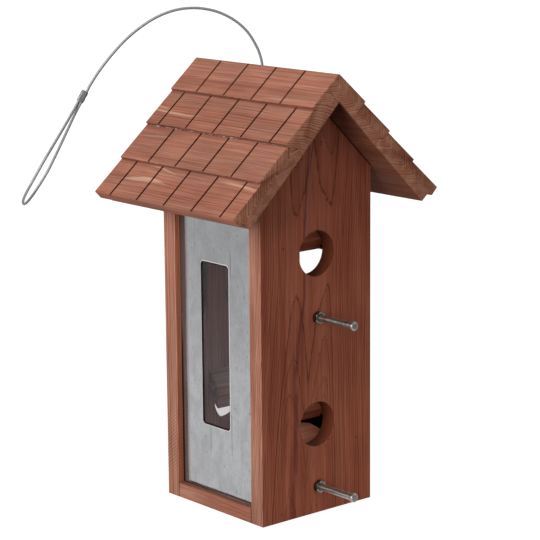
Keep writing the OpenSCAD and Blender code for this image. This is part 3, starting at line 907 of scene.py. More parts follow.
def roof_board(name, shape, corners, cuts, seed, material):
    """A roof board: its rounded section is carried along Y, and where a saw cut passes, t is
    brought down to the cut's floor, which rises from 2.6 mm deep to the butt. The outer faces carry
    a slow wave, and the butts a ragged edge, from sums of sines. The attributes cut and under mark
    where the cuts, each butt's face and the strip below it get painted shade."""
    lines = np.concatenate([shape.cut_lines(k) for _, k in cuts])
    half_cut, cut_depth, spacing, arris = shape.cut / 2, 2.6, 2.0, 0.45
    around = np.array([0.4 * half_cut, half_cut - 0.02, half_cut + 0.14, half_cut + 0.7])
    near_cut = (lines[:, None] + np.concatenate([-around, around])[None, :]).ravel()
    ends = np.array([0.0, 0.06, 0.2, arris])
    plain = np.arange(spacing - shape.half, shape.half - 1.5, spacing)
    clear = np.abs(plain[:, None] - near_cut[None, :]).min(1) > 0.5
    y = np.sort(np.concatenate([plain[clear], near_cut, -shape.half + ends, shape.half - ends]))
    from_end = shape.half - np.abs(y)
    shrink = arris - np.sqrt(np.maximum(0, arris**2 - np.maximum(0, arris - from_end) ** 2))
    rings = np.stack([rounded_outline(corners, 2.4, a) for a in shrink])
    cut_mark, butt_shade_mark = np.zeros(rings.shape[:2]), np.zeros(rings.shape[:2])
    side = cuts[-1][0]
    s, t = shape.local(side, rings)
    outer = (t > 13.5) & (s > shape.ridge_s + 2)
    calm = np.clip(from_end / 3, 0, 1)[:, None]
    wave = 0.10 * ripple(y, seed, 60)[:, None] * np.cos(s / 17 + seed)
    wave += 0.05 * ripple(y, seed + 1, 14)[:, None]
    calm_top = calm * np.clip((s - 8) / 6, 0, 1)
    t = t + np.where(outer, (wave - 0.05) * calm_top, 0)
    for k in (1, 2, 3, 4):
        close = np.exp(-((s - shape.butt_s(k)) / 0.8) ** 2) * (t > shape.board - 1)
        ragged = 0.20 * ripple(y, seed + 10 * k, 9) + 0.12 * ripple(y, seed + 20 * k, 2.5)
        s = s - close * calm * np.maximum(ragged[:, None], -0.05)
    rings = shape.at(side, s, t)
    for cut_side, k in cuts:
        s, t = shape.local(cut_side, rings)
        top = shape.butt_s(k - 1) + (0 if k == 1 else 0.3)
        low, end_t = shape.butt_s(k) - 0.2, shape.butt - 0.15
        start_t = shape.board - cut_depth
        floor = start_t + (end_t - start_t) * (s - top) / (low - top)
        away = np.abs(y[:, None] - shape.cut_lines(k)[None, :]).min(1)
        within = (away < half_cut - 0.01)[:, None] & (s > top - 0.1) & (s < low)
        within &= (t > floor) & (t > shape.board - 4)
        t = np.where(within, floor, t)
        # cut marks the cut's floor, and its edges at 0.7, for the cuts' painted shade
        cut_mark = np.maximum(cut_mark, within)
        edge = (away < half_cut + 0.2)[:, None] & (s > top) & (s < low) & (t > shape.board - 1.5)
        cut_mark = np.maximum(cut_mark, 0.7 * edge)
        rings = shape.at(cut_side, s, t)
    s, t = shape.local(side, rings)
    # Painted shade: the under attribute darkens each butt's face and a strip just below it
    for k in (1, 2, 3):
        below = s - shape.butt_s(k)
        face = (np.abs(below) < 0.4) & (t > shape.board - 0.5) & (t < shape.butt - 0.5)
        strip = (below > -0.2) & (below < 3) & (t > shape.board - 1) & (t < shape.butt - 0.4)
        shade = np.maximum(strip * np.exp(-np.maximum(below, 0) / 1.6), 0.8 * face)
        butt_shade_mark = np.maximum(butt_shade_mark, shade)
    rows, columns = rings.shape[:2]
    points = np.stack([rings[..., 0], np.broadcast_to(y[:, None], (rows, columns)),
                       rings[..., 1]], -1) * MM
    return make_piece(name, points, grid_faces(rows, columns), material, 32,
                      {"cut": cut_mark, "under": butt_shade_mark}, merge=1e-6)


def bored(piece, x, y, low, high, radius):
    """Cuts an upright round hole through a piece and keeps the result as its mesh."""
    points, faces = lathe([(0, radius), (high - low, radius)], (x, y, low), Z, 32)
    drill = make_piece("drill", points, faces, piece.data.materials[0])
    cut = piece.modifiers.new("bore", "BOOLEAN")
    cut.object, cut.operation, cut.solver = drill, "DIFFERENCE", "EXACT"
    graph = bpy.context.evaluated_depsgraph_get()
    mesh = bpy.data.meshes.new_from_object(piece.evaluated_get(graph))
    piece.modifiers.clear()
    piece.data = mesh
    mesh.set_sharp_from_angle(angle=math.radians(32))
    bpy.data.objects.remove(drill)


def roof_paint(marks, knots=()):
    """A function that lays pale sapwood streaks on a roof board, paints shade on its underside
    towards the ridge and sets small knots there. Each mark is (down the slope, along the ridge,
    half width, half length, strength): a soft ellipse bent by noise."""

    def paint(colour, place):
        t = place.tree
        down, out, along = place.split()
        bent = (t.noise(place, (0.02, 0.02, 0.016), 0.5) - 0.5) * 14.0 + down
        grain = (t.noise(place, (0.9, 0.9, 0.03), 3.0) - 0.5) * 1.8
        for s, y, width, length, strength in marks:
            u, w = (bent - s) / width, (along - y) / length
            pale = (grain + (u * u + w * w)).fade(0.1, 1.1, strength) * out.span(17.0, 19.0)
            colour = colour.to(pale, (0.62, 0.38, 0.26))
        under = out.fade(0.8, 1.5) * down.span(-3.0, -1.0)
        # Painted shade on the underside, deepest at the ridge
        shade = under * down.span(5, 60, 0.95, 0.0, smooth=False)
        colour = colour.times(shade, (0.26, 0.20, 0.20))
        for s, y, size in knots:
            knot = place.away(s, y, 0.45).fade(size * 0.5, size, 0.9) * under
            colour = colour.to(knot, (0.03, 0.014, 0.012))
        return colour

    return paint


class FEEDER_OT_roof(bpy.types.Operator):
    """Make the four shingle-cut roof boards, the glue between them and the ridge's brads"""

    bl_idname = "feeder.roof"
    bl_label = "Roof"

    def execute(self, context):
        sizes, colours = context.scene.feeder_sizes, context.scene.feeder_colours
        shape = RoofShape(sizes)
        face = tuple(colours.roof)
        middle = hidden_cable()[0]
        # Folds out and in, ring width, seed, and the streaks and knots
        looks = {
            "left_upper": (-0.8, 0.5, 2.6, 3.1, roof_paint(
                [(50, 78, 1.5, 50, 0.6), (46, 99, 1.4, 16, 0.45), (22, -60, 2, 40, 0.3)])),
            "left_lower": (1.0, 2.4, 3.3, 7.7, roof_paint(
                [(133.5, 50, 3.0, 36, 0.75), (119.5, 34, 1.1, 24, 0.55), (121, -85, 2.4, 34, 0.6),
                 (81, 76, 1.8, 26, 0.25)])),
            "right_upper": (1.0, 1.0, 2.4, 12.3, roof_paint([], [(66, -84, 3.0)])),
            "right_lower": (1.0, 1.4, 2.4, 16.9, roof_paint([]))}
        for label, corners in shape.sections().items():
            side, seed = (-1, 40) if label.startswith("left") else (1, 43)
            upper = label.endswith("upper")
            cuts = [(-1, 1), (1, 1), (side, 2)] if upper else [(side, 3), (side, 4)]
            fold_out, fold_in, width, ring_seed, paint = looks[label]
            material = cedar("cedar_roof_" + label, slope_axes(side, sizes.pitch), face,
                             edge=scaled(face, 1.05), end=tuple(colours.end),
                             inner=tuple(colours.soffit), marked=True,
                             offset=(shape.peak * shape.n, -shape.peak * shape.c, 0),
                             Fold_At=11.0, Fold_Out=fold_out, Fold_In=fold_in, Ring_Width=width,
                             Seed=ring_seed, Shake=3.5, ring_tone=0.55, fibre_tone=0.26,
                             band_tone=0.45, extra=paint)
            board = roof_board("shingle_board_" + label, shape, corners, cuts, seed, material)
            if upper:
                bored(board, 0, middle, 0.38, 0.45, 0.0022)
            stand_for(board, "roof_" + label)
        self.glue(shape)
        self.brads(shape)
        return {"FINISHED"}

    def glue(self, shape):
        """A thin bead of squeezed-out glue under each middle butt: a tube along the ridge whose
        radius is a small constant plus the square of the positive part of a sum of sines."""
        material = plain_glue("dried_glue")
        y = np.arange(-shape.half + 4, shape.half - 4, 0.8)
        for side, label, seed in ((-1, "left", 5), (1, "right", 9)):
            lumps = np.maximum(0, ripple(y, seed, 16)) ** 2 * 0.16
            lumps += np.maximum(0, ripple(y, seed + 1, 4)) ** 2 * 0.10
            lumps *= np.clip((y + 46) / 10, 0, 1)
            radius = np.minimum(0.14 + lumps, 0.75)
            middle = shape.at(side, shape.butt_s(2) + 0.5 + 0 * y, shape.board + 0.15 + 0 * y)
            path = np.stack([middle[:, 0], y, middle[:, 1]], 1) * MM
            bead = make_piece("glue_bead_" + label, *tube(path, radius[:, None] * MM, 8), material,
                              60)
            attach(bead, "roof")

    def brads(self, shape):
        """Flush heads of the ridge brads: shallow domes square to the right slope."""
        s = shape.ridge_s / 2
        x, z = shape.at(1, s, shape.top_t(1, s) + 0.02)
        profile = np.array([(-0.5, 0.95), (0.03, 0.95), (0.08, 0.6), (0.09, 0.01)]) * MM
        heads = [lathe(profile, (x * MM, y * shape.half * MM, z * MM),
                       slope_axes(1, shape.pitch)[1], 16) for y in (-0.84, -0.24, 0.36, 0.9)]
        stand_for(make_piece("ridge_brad_heads", *joined(heads), dark_iron("brad_iron_ridge")),
                  "ridge_brads")


# ---------------------------------------------------------------------------------------------
# Walls and inner woodwork


def gable_face(sign, pitch, peak, saw_marks=False):
    """A function that paints a gable. Outside it has a dark streak that wanders down the board
    with a thin pale thread in it, a few dark specks, and a painted shadow, the dark line under the
    roof, which slopes down from the peak and leaves the sawn tops bare. The inner face has painted
    light, a much lighter copy of the wood, darker at the middle, with painted shade at the top
    corners and the top. The bores of the ports have painted shade in deep red, and the strips
    beside the metal have painted light. The faces grow darker with the height, as painted shade,
    and the sawn edges lighter, and on one wall the edges have faint slanted saw marks low down."""
    # The streak's course: heights, and places across from -half_range to half_range
    heights = (-5, 50, 78, 108, 138, 171, 205, 228, 272, 296, 324, 357, 400)
    places = (-33, -31, -27, -26, -26, -23, -17, -14, -15, -13, -11, -7, -3)
    bottom, tall, half_range = heights[0], heights[-1] - heights[0], 40.0
    # Specks: across, height and size
    specks = ((-42, 267, 1.1), (6, 363, 1.0), (14.6, 71, 0.9), (11, 65, 0.7), (51, 66, 0.8))
    inner_face, outer_face, metal, side = 56.0, 73.0, 62.0, 70.0

    def paint(colour, place):
        t = place.tree
        x, y, z = place.split()
        across, depth = abs(x), abs(y)
        curve = t.add("FloatCurve", {1: z.span(bottom, bottom + tall, smooth=False)})
        line = curve.mapping.curves[0]
        for i, (h, at) in enumerate(zip(heights, places)):
            spot = ((h - bottom) / tall, (at + half_range) / (2 * half_range))
            if i in (0, len(heights) - 1):
                line.points[min(i, 1)].location = spot
            else:
                line.points.new(*spot)
        curve.mapping.update()
        wander = t.noise(place, (0.05, 0.05, 0.03), 3.0)
        middle = (wander - 0.5) * 5.0 + (Value(t, curve.outputs[0]) * (2 * half_range) - half_range)
        away = x * sign - middle
        grain = t.noise(place, (0.6, 0.6, 0.02), 3.0)
        breadth = grain.span(0.38, 0.62, 2.0, 6.0) * z.span(60, 290, 1.5, 0.7)
        dark = (abs(away + 1.2) / breadth).fade(0.2, 1.0, 0.70)
        colour = colour.times(dark * wander.span(0.30, 0.50, 0.5, 1.0), (0.46, 0.38, 0.52))
        thread = away.line(0.6, 0.1, 0.7) * z.span(150, 270, 0.05, 0.34)
        colour = colour.to(thread, (0.30, 0.21, 0.25))
        for at, height, size in specks:
            speck = place.away(sign * at, height, 0.6).fade(size * 0.4, size, 0.8)
            colour = colour.to(speck, (0.035, 0.012, 0.010))
        # Painted light on the inner face: a much lighter copy of the wood, with painted shade at
        # the top corners and the top
        dust_and_painted_light = t.mix(z.span(110, 225), (0.98, 0.72, 0.72), (0.95, 0.34, 0.26))
        dust_and_painted_light = dust_and_painted_light.scale(across.span(0, 36, 0.62, 1.05))
        dust_and_painted_light = dust_and_painted_light.times(across.span(27, 32) * z.span(165, 200), (0.15, 0.08, 0.08))
        dust_and_painted_light = dust_and_painted_light.scale(grain.span(0.35, 0.65, 0.82, 1.18)).scale(z.span(190, 245, 1.0, 0.6))
        inside = depth.fade(inner_face + 0.05, inner_face + 0.25, 0.85)
        inside *= across.fade(metal - 1, metal)
        colour = colour.to(inside, dust_and_painted_light)
        # Painted shade in the bores of the ports, a deep red
        bore = depth.span(inner_face, inner_face + 0.4)
        bore *= depth.fade(outer_face - 0.5, outer_face - 0.1)
        colour = colour.to(bore * across.fade(30, 32, 0.9), (0.135, 0.034, 0.015))
        # Painted light on the strips beside the metal, stronger higher up
        lit = t.mix(z.span(50, 150), (1.4, 1.6, 1.55), (1.9, 2.2, 2.1))
        reveal = depth.fade(inner_face + 0.1, inner_face + 0.6) * across.span(metal, metal + 1)
        colour = colour.times(reveal, lit)
        sawn = across.span(side - 1, side - 0.2)
        # Painted shade: the faces darker with the height; the sawn edges lighter with the height
        tone = t.blend(sawn, z.span(30, 190, 1.14, 0.98), z.span(20, 130, 0.84, 0.96))
        # Painted shadow: a dark line under the roof along the top of the faces
        slope = across * math.tan(pitch) + z
        under = slope.span(peak - 2.6, peak - 1.0, 0.0, 0.95)
        under *= slope.fade(peak - 0.30, peak - 0.10)
        colour = colour.scale(tone).to(under, (0.02, 0.008, 0.007))
        if saw_marks:
            slant, tooth = 0.75, 3.6
            marks = ((y * slant + z) * (2 * math.pi / tooth)).sine()
            low = z.fade(75, 105, 0.22) * z.span(18, 30)
            colour = colour.scale(low * sawn * marks + 1.0)
        return colour

    return paint


def joint_lines(limit):
    """A function that darkens a board where it meets its neighbours, limit from its middle."""

    def paint(colour, place):
        seam = abs(place.split()[2]).span(limit - 1.3, limit - 0.6, 0.0, 0.92)
        return colour.to(seam, (0.04, 0.016, 0.013))

    return paint


class FEEDER_OT_walls(bpy.types.Operator):
    """Make the two gabled walls with rounded edges, and the brad heads in them"""

    bl_idname = "feeder.walls"
    bl_label = "Walls"

    def execute(self, context):
        sizes, colours = context.scene.feeder_sizes, context.scene.feeder_colours
        edge = tuple(colours.edge)
        for node, sign, seed in (("front_wall", 1, 2.4), ("back_wall", -1, 31.7)):
            paint = gable_face(sign, sizes.pitch, box_mm(node)[1][2], sign < 0)
            material = cedar("cedar_" + node, UPRIGHT, tuple(colours.face), edge=edge,
                             end=scaled(edge, 0.8), edge_from=62, Pith_Across=-17.5 * sign,
                             Pith_Depth=-65.0 * sign, Spread=22.5, Lean=0.04 * sign,
                             Ring_Width=2.7, Arch=2.2, Arch_Centre=255, Shake=6.0, Seed=seed,
                             Fold_At=-73.0 * sign, Fold_Out=0.5 + 0.5 * sign,
                             Fold_In=0.5 - 0.5 * sign, ring_tone=0.75, fibre_tone=0.20,
                             band_tone=0.5, extra=paint)
            trimmed_copy("gable_" + node, node, material, sizes.edge)
        self.brads()
        return {"FINISHED"}

    def brads(self):
        """Flush heads of the walls' brads, three into the floor and one into the hanger bar."""
        iron = dark_iron("brad_iron")
        profile = np.array([(-0.5, 0.8), (0.02, 0.8), (0.06, 0.5), (0.07, 0.01)]) * MM
        bar = box_mm("hanger_bar")
        low = box_mm("floor_board")[1][2] / 2
        spots = [(-46, low), (-2, low), (54, low), (5, (bar[0][2] + bar[1][2]) / 2)]
        for label, sign, outer in (("front", 1, 0), ("back", -1, 1)):
            y = box_mm("wall_brads_" + label)[outer][1] * MM
            heads = [lathe(profile, (sign * x * MM, y, z * MM), (0, -sign, 0), 16)
                     for x, z in spots]
            stand_for(make_piece("brad_heads_" + label, *joined(heads), iron),
                      "wall_brads_" + label)


class FEEDER_OT_inside(bpy.types.Operator):
    """Make the floor board, the sloping seed floor, the baffles and the hanger bar"""

    bl_idname = "feeder.inside"
    bl_label = "Inner woodwork"

    def execute(self, context):
        sizes, colours = context.scene.feeder_sizes, context.scene.feeder_colours
        edge = tuple(colours.edge)
        ledge = cedar("cedar_floor", LENGTHWISE, scaled(edge, 0.75), edge=scaled(edge, 0.86),
                      end=edge, Ring_Width=2.4, Pith_Across=-90.0, Fold_Out=0.6, Fold_In=0.4,
                      Fold_At=8.0, Seed=5.5, extra=joint_lines(box_mm("floor_board")[1][1]))
        trimmed_copy("floor", "floor_board", ledge, sizes.edge)
        # Painted light: the seed floor is a much lighter copy of the cedar
        slope = cedar("cedar_seed_floor", CROSSWISE, (0.94, 0.38, 0.23), Ring_Width=2.6,
                      Seed=8.2, ring_tone=0.2, band_tone=0.4)
        for end in ("front", "back"):
            trimmed_copy("seed_floor_" + end, "seed_slope_" + end, slope, sizes.edge / 2)
        # Painted light: the baffles are lighter copies of the cedar, the back ones pale
        for end, colour, rings in (("front", scaled(colours.face, 1.3), 0.4),
                                   ("back", (0.92, 0.66, 0.63), 0.12)):
            block = cedar("cedar_baffle_" + end, CROSSWISE, colour, Ring_Width=2.4, Seed=11.9,
                          ring_tone=rings)
            for label in (end + "_upper", end + "_lower"):
                trimmed_copy("port_baffle_" + label, "baffle_" + label, block, sizes.edge)
        bar = cedar("cedar_hanger", LENGTHWISE, scaled(edge, 0.8), Ring_Width=2.2, Seed=14.1)
        trimmed_copy("hanger", "hanger_bar", bar, sizes.edge)
        return {"FINISHED"}


# ---------------------------------------------------------------------------------------------
# Sides and windows


def sheet_outlines():
    """Matching points round the slot and round the sheet, as (y, z) in millimetres: both run from
    the middle of a side through a corner to the next, so that a line joins each pair."""
    radius = 4.0
    low, high = box_mm("side_panel_left")
    inner, outer = [], []

    def share(count, first=0):
        """Even shares of the way, without the end."""
        return np.linspace(0, 1, count, endpoint=False)[first:, None]

    def corner(box, sign, first):
        """Middle of one side, the corner after it and the middle of the next side."""
        corner = np.where(sign > 0, box[1], box[0])
        middle = (box[0] + box[1]) / 2
        across = np.array([first == 0, first == 1])
        return np.where(across, middle, corner), corner, np.where(across, corner, middle)

    for i, sign in enumerate(np.array([(1, -1), (1, 1), (-1, 1), (-1, -1)])):
        start, slot, end = corner((SLOT_LOW, SLOT_HIGH), sign, i % 2)
        into = slot - (slot - start) / np.linalg.norm(slot - start) * radius
        away = slot - (slot - end) / np.linalg.norm(slot - end) * radius
        turn = np.linspace(0, math.pi / 2, 9)[:, None]
        centre = into + away - slot
        inner += [start + (into - start) * share(14),
                  centre + (into - centre) * np.cos(turn) + (away - centre) * np.sin(turn),
                  away + (end - away) * share(14, 1)]
        start, edge, end = corner((low[1:], high[1:]), sign, i % 2)
        outer += [start + (edge - start) * share(18), edge + (end - edge) * share(18)]
    return np.concatenate(inner), np.concatenate(outer)


class FEEDER_OT_sides(bpy.types.Operator):
    """Make the galvanised sheets with their slots"""

    bl_idname = "feeder.sides"
    bl_label = "Metal sides"

    def execute(self, context):
        ledge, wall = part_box("floor_board")[1][2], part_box("back_wall")[0][1]
        zinc = galvanised("galvanised_sheet", tuple(context.scene.feeder_colours.zinc), ledge, wall)
        slot, rim = sheet_outlines()
        for label, side in (("left", -1), ("right", 1)):
            stand_for(self.sheet(label, side, slot, rim, zinc), "side_panel_" + label)
        return {"FINISHED"}

    def sheet(self, label, side, slot, rim, material):
        """A sheet as a closed ring surface: at share a from the slot to the rim, and height h
        through the sheet, the point is slot + a (rim - slot), with a small burr that falls off
        from the slot as exp(-(d / 0.75)^2), and the outside face bowed by a slow wave. The last
        row lies inside the slot's wall, so that the cut is part painted highlight and part painted
        shade."""
        low, high = box_mm("side_panel_" + label)
        outside, inside = (low[0], high[0]) if side < 0 else (high[0], low[0])
        edge_zone, whole = 3.0, 100.0
        steps = np.concatenate([[0, 0.25, 0.6, 0.95, 1.2, 1.8], np.linspace(edge_zone, whole, 26)])
        near_share = edge_zone / np.linalg.norm(rim - slot, axis=1)[None, :]
        near = np.minimum(steps / edge_zone, 1)[:, None]
        far = np.maximum(steps - edge_zone, 0)[:, None] / (whole - edge_zone)
        share = near * near_share + far * (1 - near_share)
        flat = slot[None] + share[..., None] * (rim - slot)[None]
        burr = 0.22 * np.exp(-(steps / 0.75) ** 2)[:, None]
        bow = 0.10 * (ripple(flat[..., 1], 3, 150) + ripple(flat[..., 0] * 3, 4, 160))
        calm = np.clip(steps / 6, 0, 1) * np.clip((whole - steps) / 10, 0, 1)
        out_x = outside + side * (burr + np.maximum(bow, -0.05) * calm[:, None])
        out_face = np.concatenate([out_x[..., None], flat], -1)
        in_face = np.concatenate([np.full_like(out_x, inside)[..., None], flat], -1)[::-1]
        wall = out_face[:1] * 0.8 + in_face[-1:] * 0.2
        points = np.concatenate([out_face, in_face, wall])
        rim_mark, cut_shade_mark = np.zeros(points.shape[:2]), np.zeros(points.shape[:2])
        # rim marks the cut's painted highlight, dark its painted shade
        rim_mark[:3], cut_shade_mark[-2:] = 1, 1
        return make_piece("metal_side_" + label, points * MM,
                          grid_faces(*points.shape[:2], ring=True), material, 35,
                          {"rim": rim_mark, "dark": cut_shade_mark})


class FEEDER_OT_windows(bpy.types.Operator):
    """Give the clear sheets behind the slots their plastic"""

    bl_idname = "feeder.windows"
    bl_label = "Windows"

    def execute(self, context):
        # The left window is a darker copy of the plastic and the right one nearly clear, so that
        # more light gets inside: painted shade and painted light
        for node, clean, dust_and_painted_light in (("window_left", (0.60, 0.585, 0.593), (0.53, 0.515, 0.522)),
                                   ("window_right", (0.99, 0.98, 0.98), (0.96, 0.94, 0.945))):
            mesh = frame["nodes"][node].data
            mesh.materials.clear()
            mesh.materials.append(clear_sheet("plastic_" + node, clean, dust_and_painted_light))
        return {"FINISHED"}


# ---------------------------------------------------------------------------------------------
# Perches


# Radii of the bores, the washers and the rods, and the washers' thickness, in millimetres
BORE, CABLE_BORE, WASHER_OUT, SHANK = 3.28, 2.2, 7.95, 6.35 / 2
WASHER = 1.4


def washer_profile(bore, out, thick):
    """Ring profile of a flat washer with eased edges."""
    return [(0.1, bore), (0, bore + 0.1), (0, out - 0.3), (0.3, out), (thick - 0.3, out),
            (thick, out - 0.3), (thick, bore + 0.1), (thick - 0.1, bore)]


class FEEDER_OT_perches(bpy.types.Operator):
    """Make the perch rods, their nuts and washers, and the cable's stop"""

    bl_idname = "feeder.perches"
    bl_label = "Perches"

    def execute(self, context):
        steel_colour = tuple(context.scene.feeder_colours.steel)
        heights = [np.mean([b[2] for b in box_mm("perch_front_" + v)]) for v in ("lower", "upper")]
        steel = bright_steel("perch_steel", scaled(steel_colour, 0.60), 0.34, 150, turned=0.8)
        plate = bright_steel("zinc_plate", scaled(steel_colour, 0.30), 0.14, axes=heights)
        dull = bright_steel("zinc_dull", scaled(steel_colour, 0.62), 0.40)
        for label in ("front_upper", "front_lower", "back_upper", "back_lower"):
            stand_for(self.rod(label, steel), "perch_" + label)
        front, back, nut = box_mm("front_wall"), box_mm("back_wall"), box_mm("perch_outer_nuts")
        thick = front[0][1] - nut[0][1]
        flats = (nut[1][0] - nut[0][0]) * math.cos(math.pi / 6)
        outer, inner, washers = [], [], []
        for z in heights:
            for sign, out_y, in_y in ((-1, front[0][1], front[1][1]), (1, back[1][1], back[0][1])):
                out, into = (0, sign, 0), (0, -sign, 0)
                outer.append(self.nut(out_y, z, out, flats, thick))
                washers.append(lathe(washer_profile(BORE, WASHER_OUT, WASHER), (0, in_y, z), into,
                                     48, ring=True))
                inner.append(self.nut(in_y - sign * WASHER, z, into, flats, thick))
        for kind, metal, parts in (("outer_nuts", plate, outer), ("inner_nuts", dull, inner),
                                   ("washers", dull, washers)):
            points, faces = joined(parts)
            stand_for(make_piece("steel_" + kind, points * MM, faces, metal, 28), "perch_" + kind)
        self.stop(dull)
        return {"FINISHED"}

    def rod(self, label, material):
        """A turned rod: a domed knob with a small neck, a polished shank and a threaded tail whose
        radius drops by a triangle wave of the height less the turn, one pitch to a turn."""
        low, high = box_mm("perch_" + label)
        start, axis = (low[1], Y) if label.startswith("front") else (high[1], (0, -1, 0))
        length, knob = high[1] - low[1], (high[2] - low[2]) / 2
        tail, thread_end, thread_pitch, thread_depth = length - 14, length - 0.6, 1.27, 0.42
        dome = [(1.9 * (1 - math.cos(a)), 0.25 + (knob - 0.25) * math.sin(a) ** 0.8)
                for a in np.linspace(0.0, math.pi / 2, 9)]
        neck = [(3.6, knob), (4.2, knob * 0.985), (4.7, knob * 0.90), (4.95, SHANK * 1.06),
                (5.3, SHANK)]
        rest = [(h, SHANK) for h in (*np.linspace(6, tail - 0.2, 20),
                                     *np.arange(tail, thread_end, 0.12))]
        tip = [(length - 0.5, SHANK * 0.9), (length, SHANK * 0.75)]

        def shape(height, around, radius):
            turn = (height / thread_pitch - around / (2 * math.pi)) % 1.0
            depth = thread_depth * np.abs(2 * turn - 1) * np.clip(height - tail, 0, 1)
            return radius - depth * (height < thread_end)

        points, faces = lathe(dome + neck + rest + tip, (0, start, (low[2] + high[2]) / 2), axis,
                              40, shape)
        return make_piece("perch_rod_" + label, points * MM, faces, material, 40)

    def nut(self, y, z, axis, flats, thick):
        """A hex nut: a ring profile through the bore, face, flats and face. The radius of its
        outside at an angle is that of a hexagon, flats / 2 over the cosine of the angle from the
        nearest flat, and near both faces no more than a cone's."""
        out = flats / 2
        low = [(0, BORE + 0.35), (0, out * 0.94), (0.02, out), (0.35, out), (0.8, out)]
        profile = [(0.35, BORE), *low, (thick / 2, out), *[(thick - h, r) for h, r in low[::-1]],
                   (thick - 0.35, BORE)]

        def shape(height, around, radius):
            turn = (around + math.pi / 6) % (math.pi / 3) - math.pi / 6
            cone = out * 0.98 + np.minimum(height, thick - height) * 1.7
            return np.where(radius > flats * 0.4, np.minimum(out / np.cos(turn), cone), radius)

        return lathe(profile, (0, y, z), axis, 72, shape, ring=True)

    def stop(self, metal):
        """The washer and the pressed sleeve under the hanger bar, turned about the cable. The
        sleeve is squeezed at two heights by a smooth dip in its radius."""
        for name, node, sides in (("stop_ring", "stop_washer", 48),
                                  ("stop_sleeve_pressed", "stop_sleeve", 36)):
            low, high = box_mm(node)
            out, thick = (high[0] - low[0]) / 2, high[2] - low[2]
            profile = washer_profile(CABLE_BORE, out, thick)
            if node == "stop_sleeve":
                body = [(h, out - 0.28 * sum(math.exp(-((h - c) / 0.9) ** 2) for c in (2.8, 7.0)))
                        for h in np.linspace(0.6, thick - 0.6, 24)]
                end = [(0.15, 1.25), (0, 1.4), (0, out - 0.6), (0.25, out - 0.15)]
                profile = end + body + [(thick - h, r) for h, r in end[::-1]]
                metal = bright_steel("stop_sleeve_metal", (0.45, 0.45, 0.46), 0.4)
            points, faces = lathe(profile, (0, (low[1] + high[1]) / 2, low[2]), Z, sides, ring=True)
            stand_for(make_piece(name, points * MM, faces, metal, 30), node)


# ---------------------------------------------------------------------------------------------
# Stage


def posed(name, data, right, up, back, place=(0, 0, 0)):
    """An object in the scene with its own axes and place: it looks against back."""
    thing = bpy.data.objects.new(name, data)
    matrix = np.eye(4)
    matrix[:3] = np.stack([right, up, back, place], 1)
    thing.matrix_world = Matrix(matrix.tolist())
    bpy.context.scene.collection.objects.link(thing)
    return thing


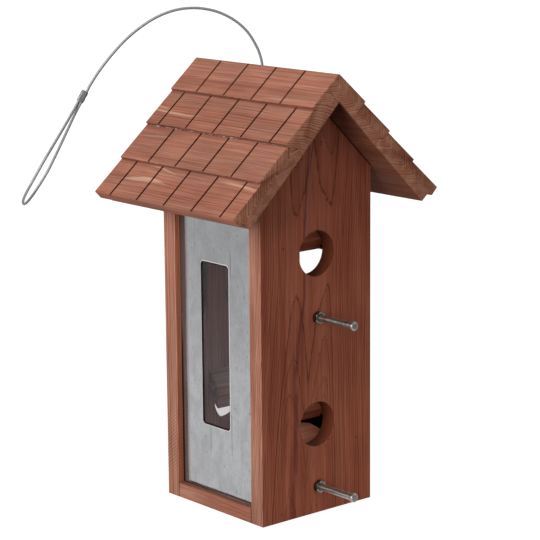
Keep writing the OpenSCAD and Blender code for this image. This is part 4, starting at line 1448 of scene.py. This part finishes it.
class FEEDER_OT_stage(bpy.types.Operator):
    """Make the floor, the soft lights, the pale surroundings and the camera"""

    bl_idname = "feeder.stage"
    bl_label = "Stage"

    def execute(self, context):
        scene = context.scene
        scene.view_settings.view_transform = "Standard"
        self.camera(scene)
        self.lights()
        self.world(scene)
        self.floor()
        return {"FINISHED"}

    def camera(self, scene):
        """A camera whose axes are built from azimuth, elevation and roll."""
        view = scene.feeder_view
        a, e, r = view.azimuth, view.elevation, view.roll
        back = np.array([math.sin(a) * math.cos(e), -math.cos(a) * math.cos(e), math.sin(e)])
        right = np.array([math.cos(a), math.sin(a), 0])
        up = np.cross(back, right)
        data = bpy.data.cameras.new("camera")
        data.sensor_width = 36
        data.lens = view.focal * data.sensor_width
        data.clip_start, data.clip_end = 0.05, 50
        scene.camera = posed("camera", data, math.cos(r) * right + math.sin(r) * up,
                             -math.sin(r) * right + math.cos(r) * up, back, view.place)

    def lights(self):
        """Three soft suns: name, direction to it, strength and breadth in degrees."""
        for name, toward, strength, breadth in (("key", (-0.90, -0.16, 0.27), 2.35, 36),
                                                ("front", (-0.30, -0.90, 0.15), 0.34, 70),
                                                ("fill", (0.6, 0.5, 0.5), 0.80, 60)):
            data = bpy.data.lights.new(name, "SUN")
            data.energy, data.angle = strength, math.radians(breadth)
            back = np.array(toward, float) / np.linalg.norm(toward)
            right = np.cross(Z, back)
            right /= np.linalg.norm(right)
            posed(name, data, right, np.cross(back, right), back)

    def rays(self, t):
        """One for rays that show the surroundings, and one for those in glossy reflections."""
        camera, glossy, through = (
            t.value("LightPath", None, "Is %s Ray" % kind)
            for kind in ("Camera", "Glossy", "Transmission"))
        return camera.max(glossy.max(through)), glossy

    def world(self, scene):
        """White to the camera and in reflections, apart from the dim side of the room in front of
        the feeder, and a softer white as light."""
        world = bpy.data.worlds.new("pale_room")
        world.use_nodes = True
        t = Tree(world.node_tree)
        seen, glossy = self.rays(t)
        toward = t.value("TexCoord", None, "Generated").vector("DOT_PRODUCT", (-0.50, -0.85, 0.15),
                                                               1)
        dim = toward.span(0.60, 0.90, 0.0, 0.88) * glossy
        shade = t.value("Background", {"Color": (1, 1, 1, 1),
                                       "Strength": (seen * 0.55 + 0.45) * (1.0 - dim)})
        t.add("OutputWorld", {0: shade})
        scene.world = world

    def floor(self):
        """A wide floor level with the feeder's underside: a pale grey that lights the feeder
        little, and white where it is seen, apart from the feeder's shadow."""
        material, t = new_material("pale_floor")
        seen, glossy = self.rays(t)
        where = t.place()
        dim = where.split()[1].fade(-0.95, -0.35, 0.75) * glossy
        grain = t.noise(where, (3, 3, 3))
        t.surface(Base_Color=t.mix(grain, (0.31, 0.31, 0.31), (0.33, 0.33, 0.33)), Roughness=0.9,
                  Specular_IOR_Level=0.0, Emission_Color=(1, 1, 1, 1),
                  Emission_Strength=seen * (0.84 - dim))
        size = 14.0
        points = [(x * size, y * size, 0) for x, y in ((-1, -1), (1, -1), (1, 1), (-1, 1))]
        make_piece("floor_plane", points, [[0, 1, 2, 3]], material)


class FEEDER_PT_panel(bpy.types.Panel):
    """Lists the feeder's steps in the sidebar"""

    bl_label = "Feeder"
    bl_idname = "FEEDER_PT_panel"
    bl_space_type = "VIEW_3D"
    bl_region_type = "UI"
    bl_category = "Feeder"

    def draw(self, context):
        for step in STEPS:
            self.layout.operator(step.bl_idname)
        for name in GROUPS:
            group = getattr(context.scene, name)
            for setting in group.__annotations__:
                self.layout.prop(group, setting)


STEPS = (FEEDER_OT_stage, FEEDER_OT_cable, FEEDER_OT_roof, FEEDER_OT_walls, FEEDER_OT_inside,
         FEEDER_OT_sides, FEEDER_OT_windows, FEEDER_OT_perches)
GROUPS = {"feeder_sizes": FeederSizes, "feeder_colours": FeederColours, "feeder_view": FeederView}


def register():
    """Registers the classes and hangs the settings on the scene."""
    for item in (*GROUPS.values(), *STEPS, FEEDER_PT_panel):
        bpy.utils.register_class(item)
    for name, group in GROUPS.items():
        setattr(bpy.types.Scene, name, PointerProperty(type=group))


def unregister():
    """Takes the settings and classes away again."""
    for name in GROUPS:
        delattr(bpy.types.Scene, name)
    for item in (FEEDER_PT_panel, *reversed(STEPS), *reversed(GROUPS.values())):
        bpy.utils.unregister_class(item)


def main():
    """Registers the classes and runs every step in order."""
    register()
    for step in STEPS:
        area, name = step.bl_idname.split(".")
        getattr(getattr(bpy.ops, area), name)()


if __name__ == "__main__":
    main()
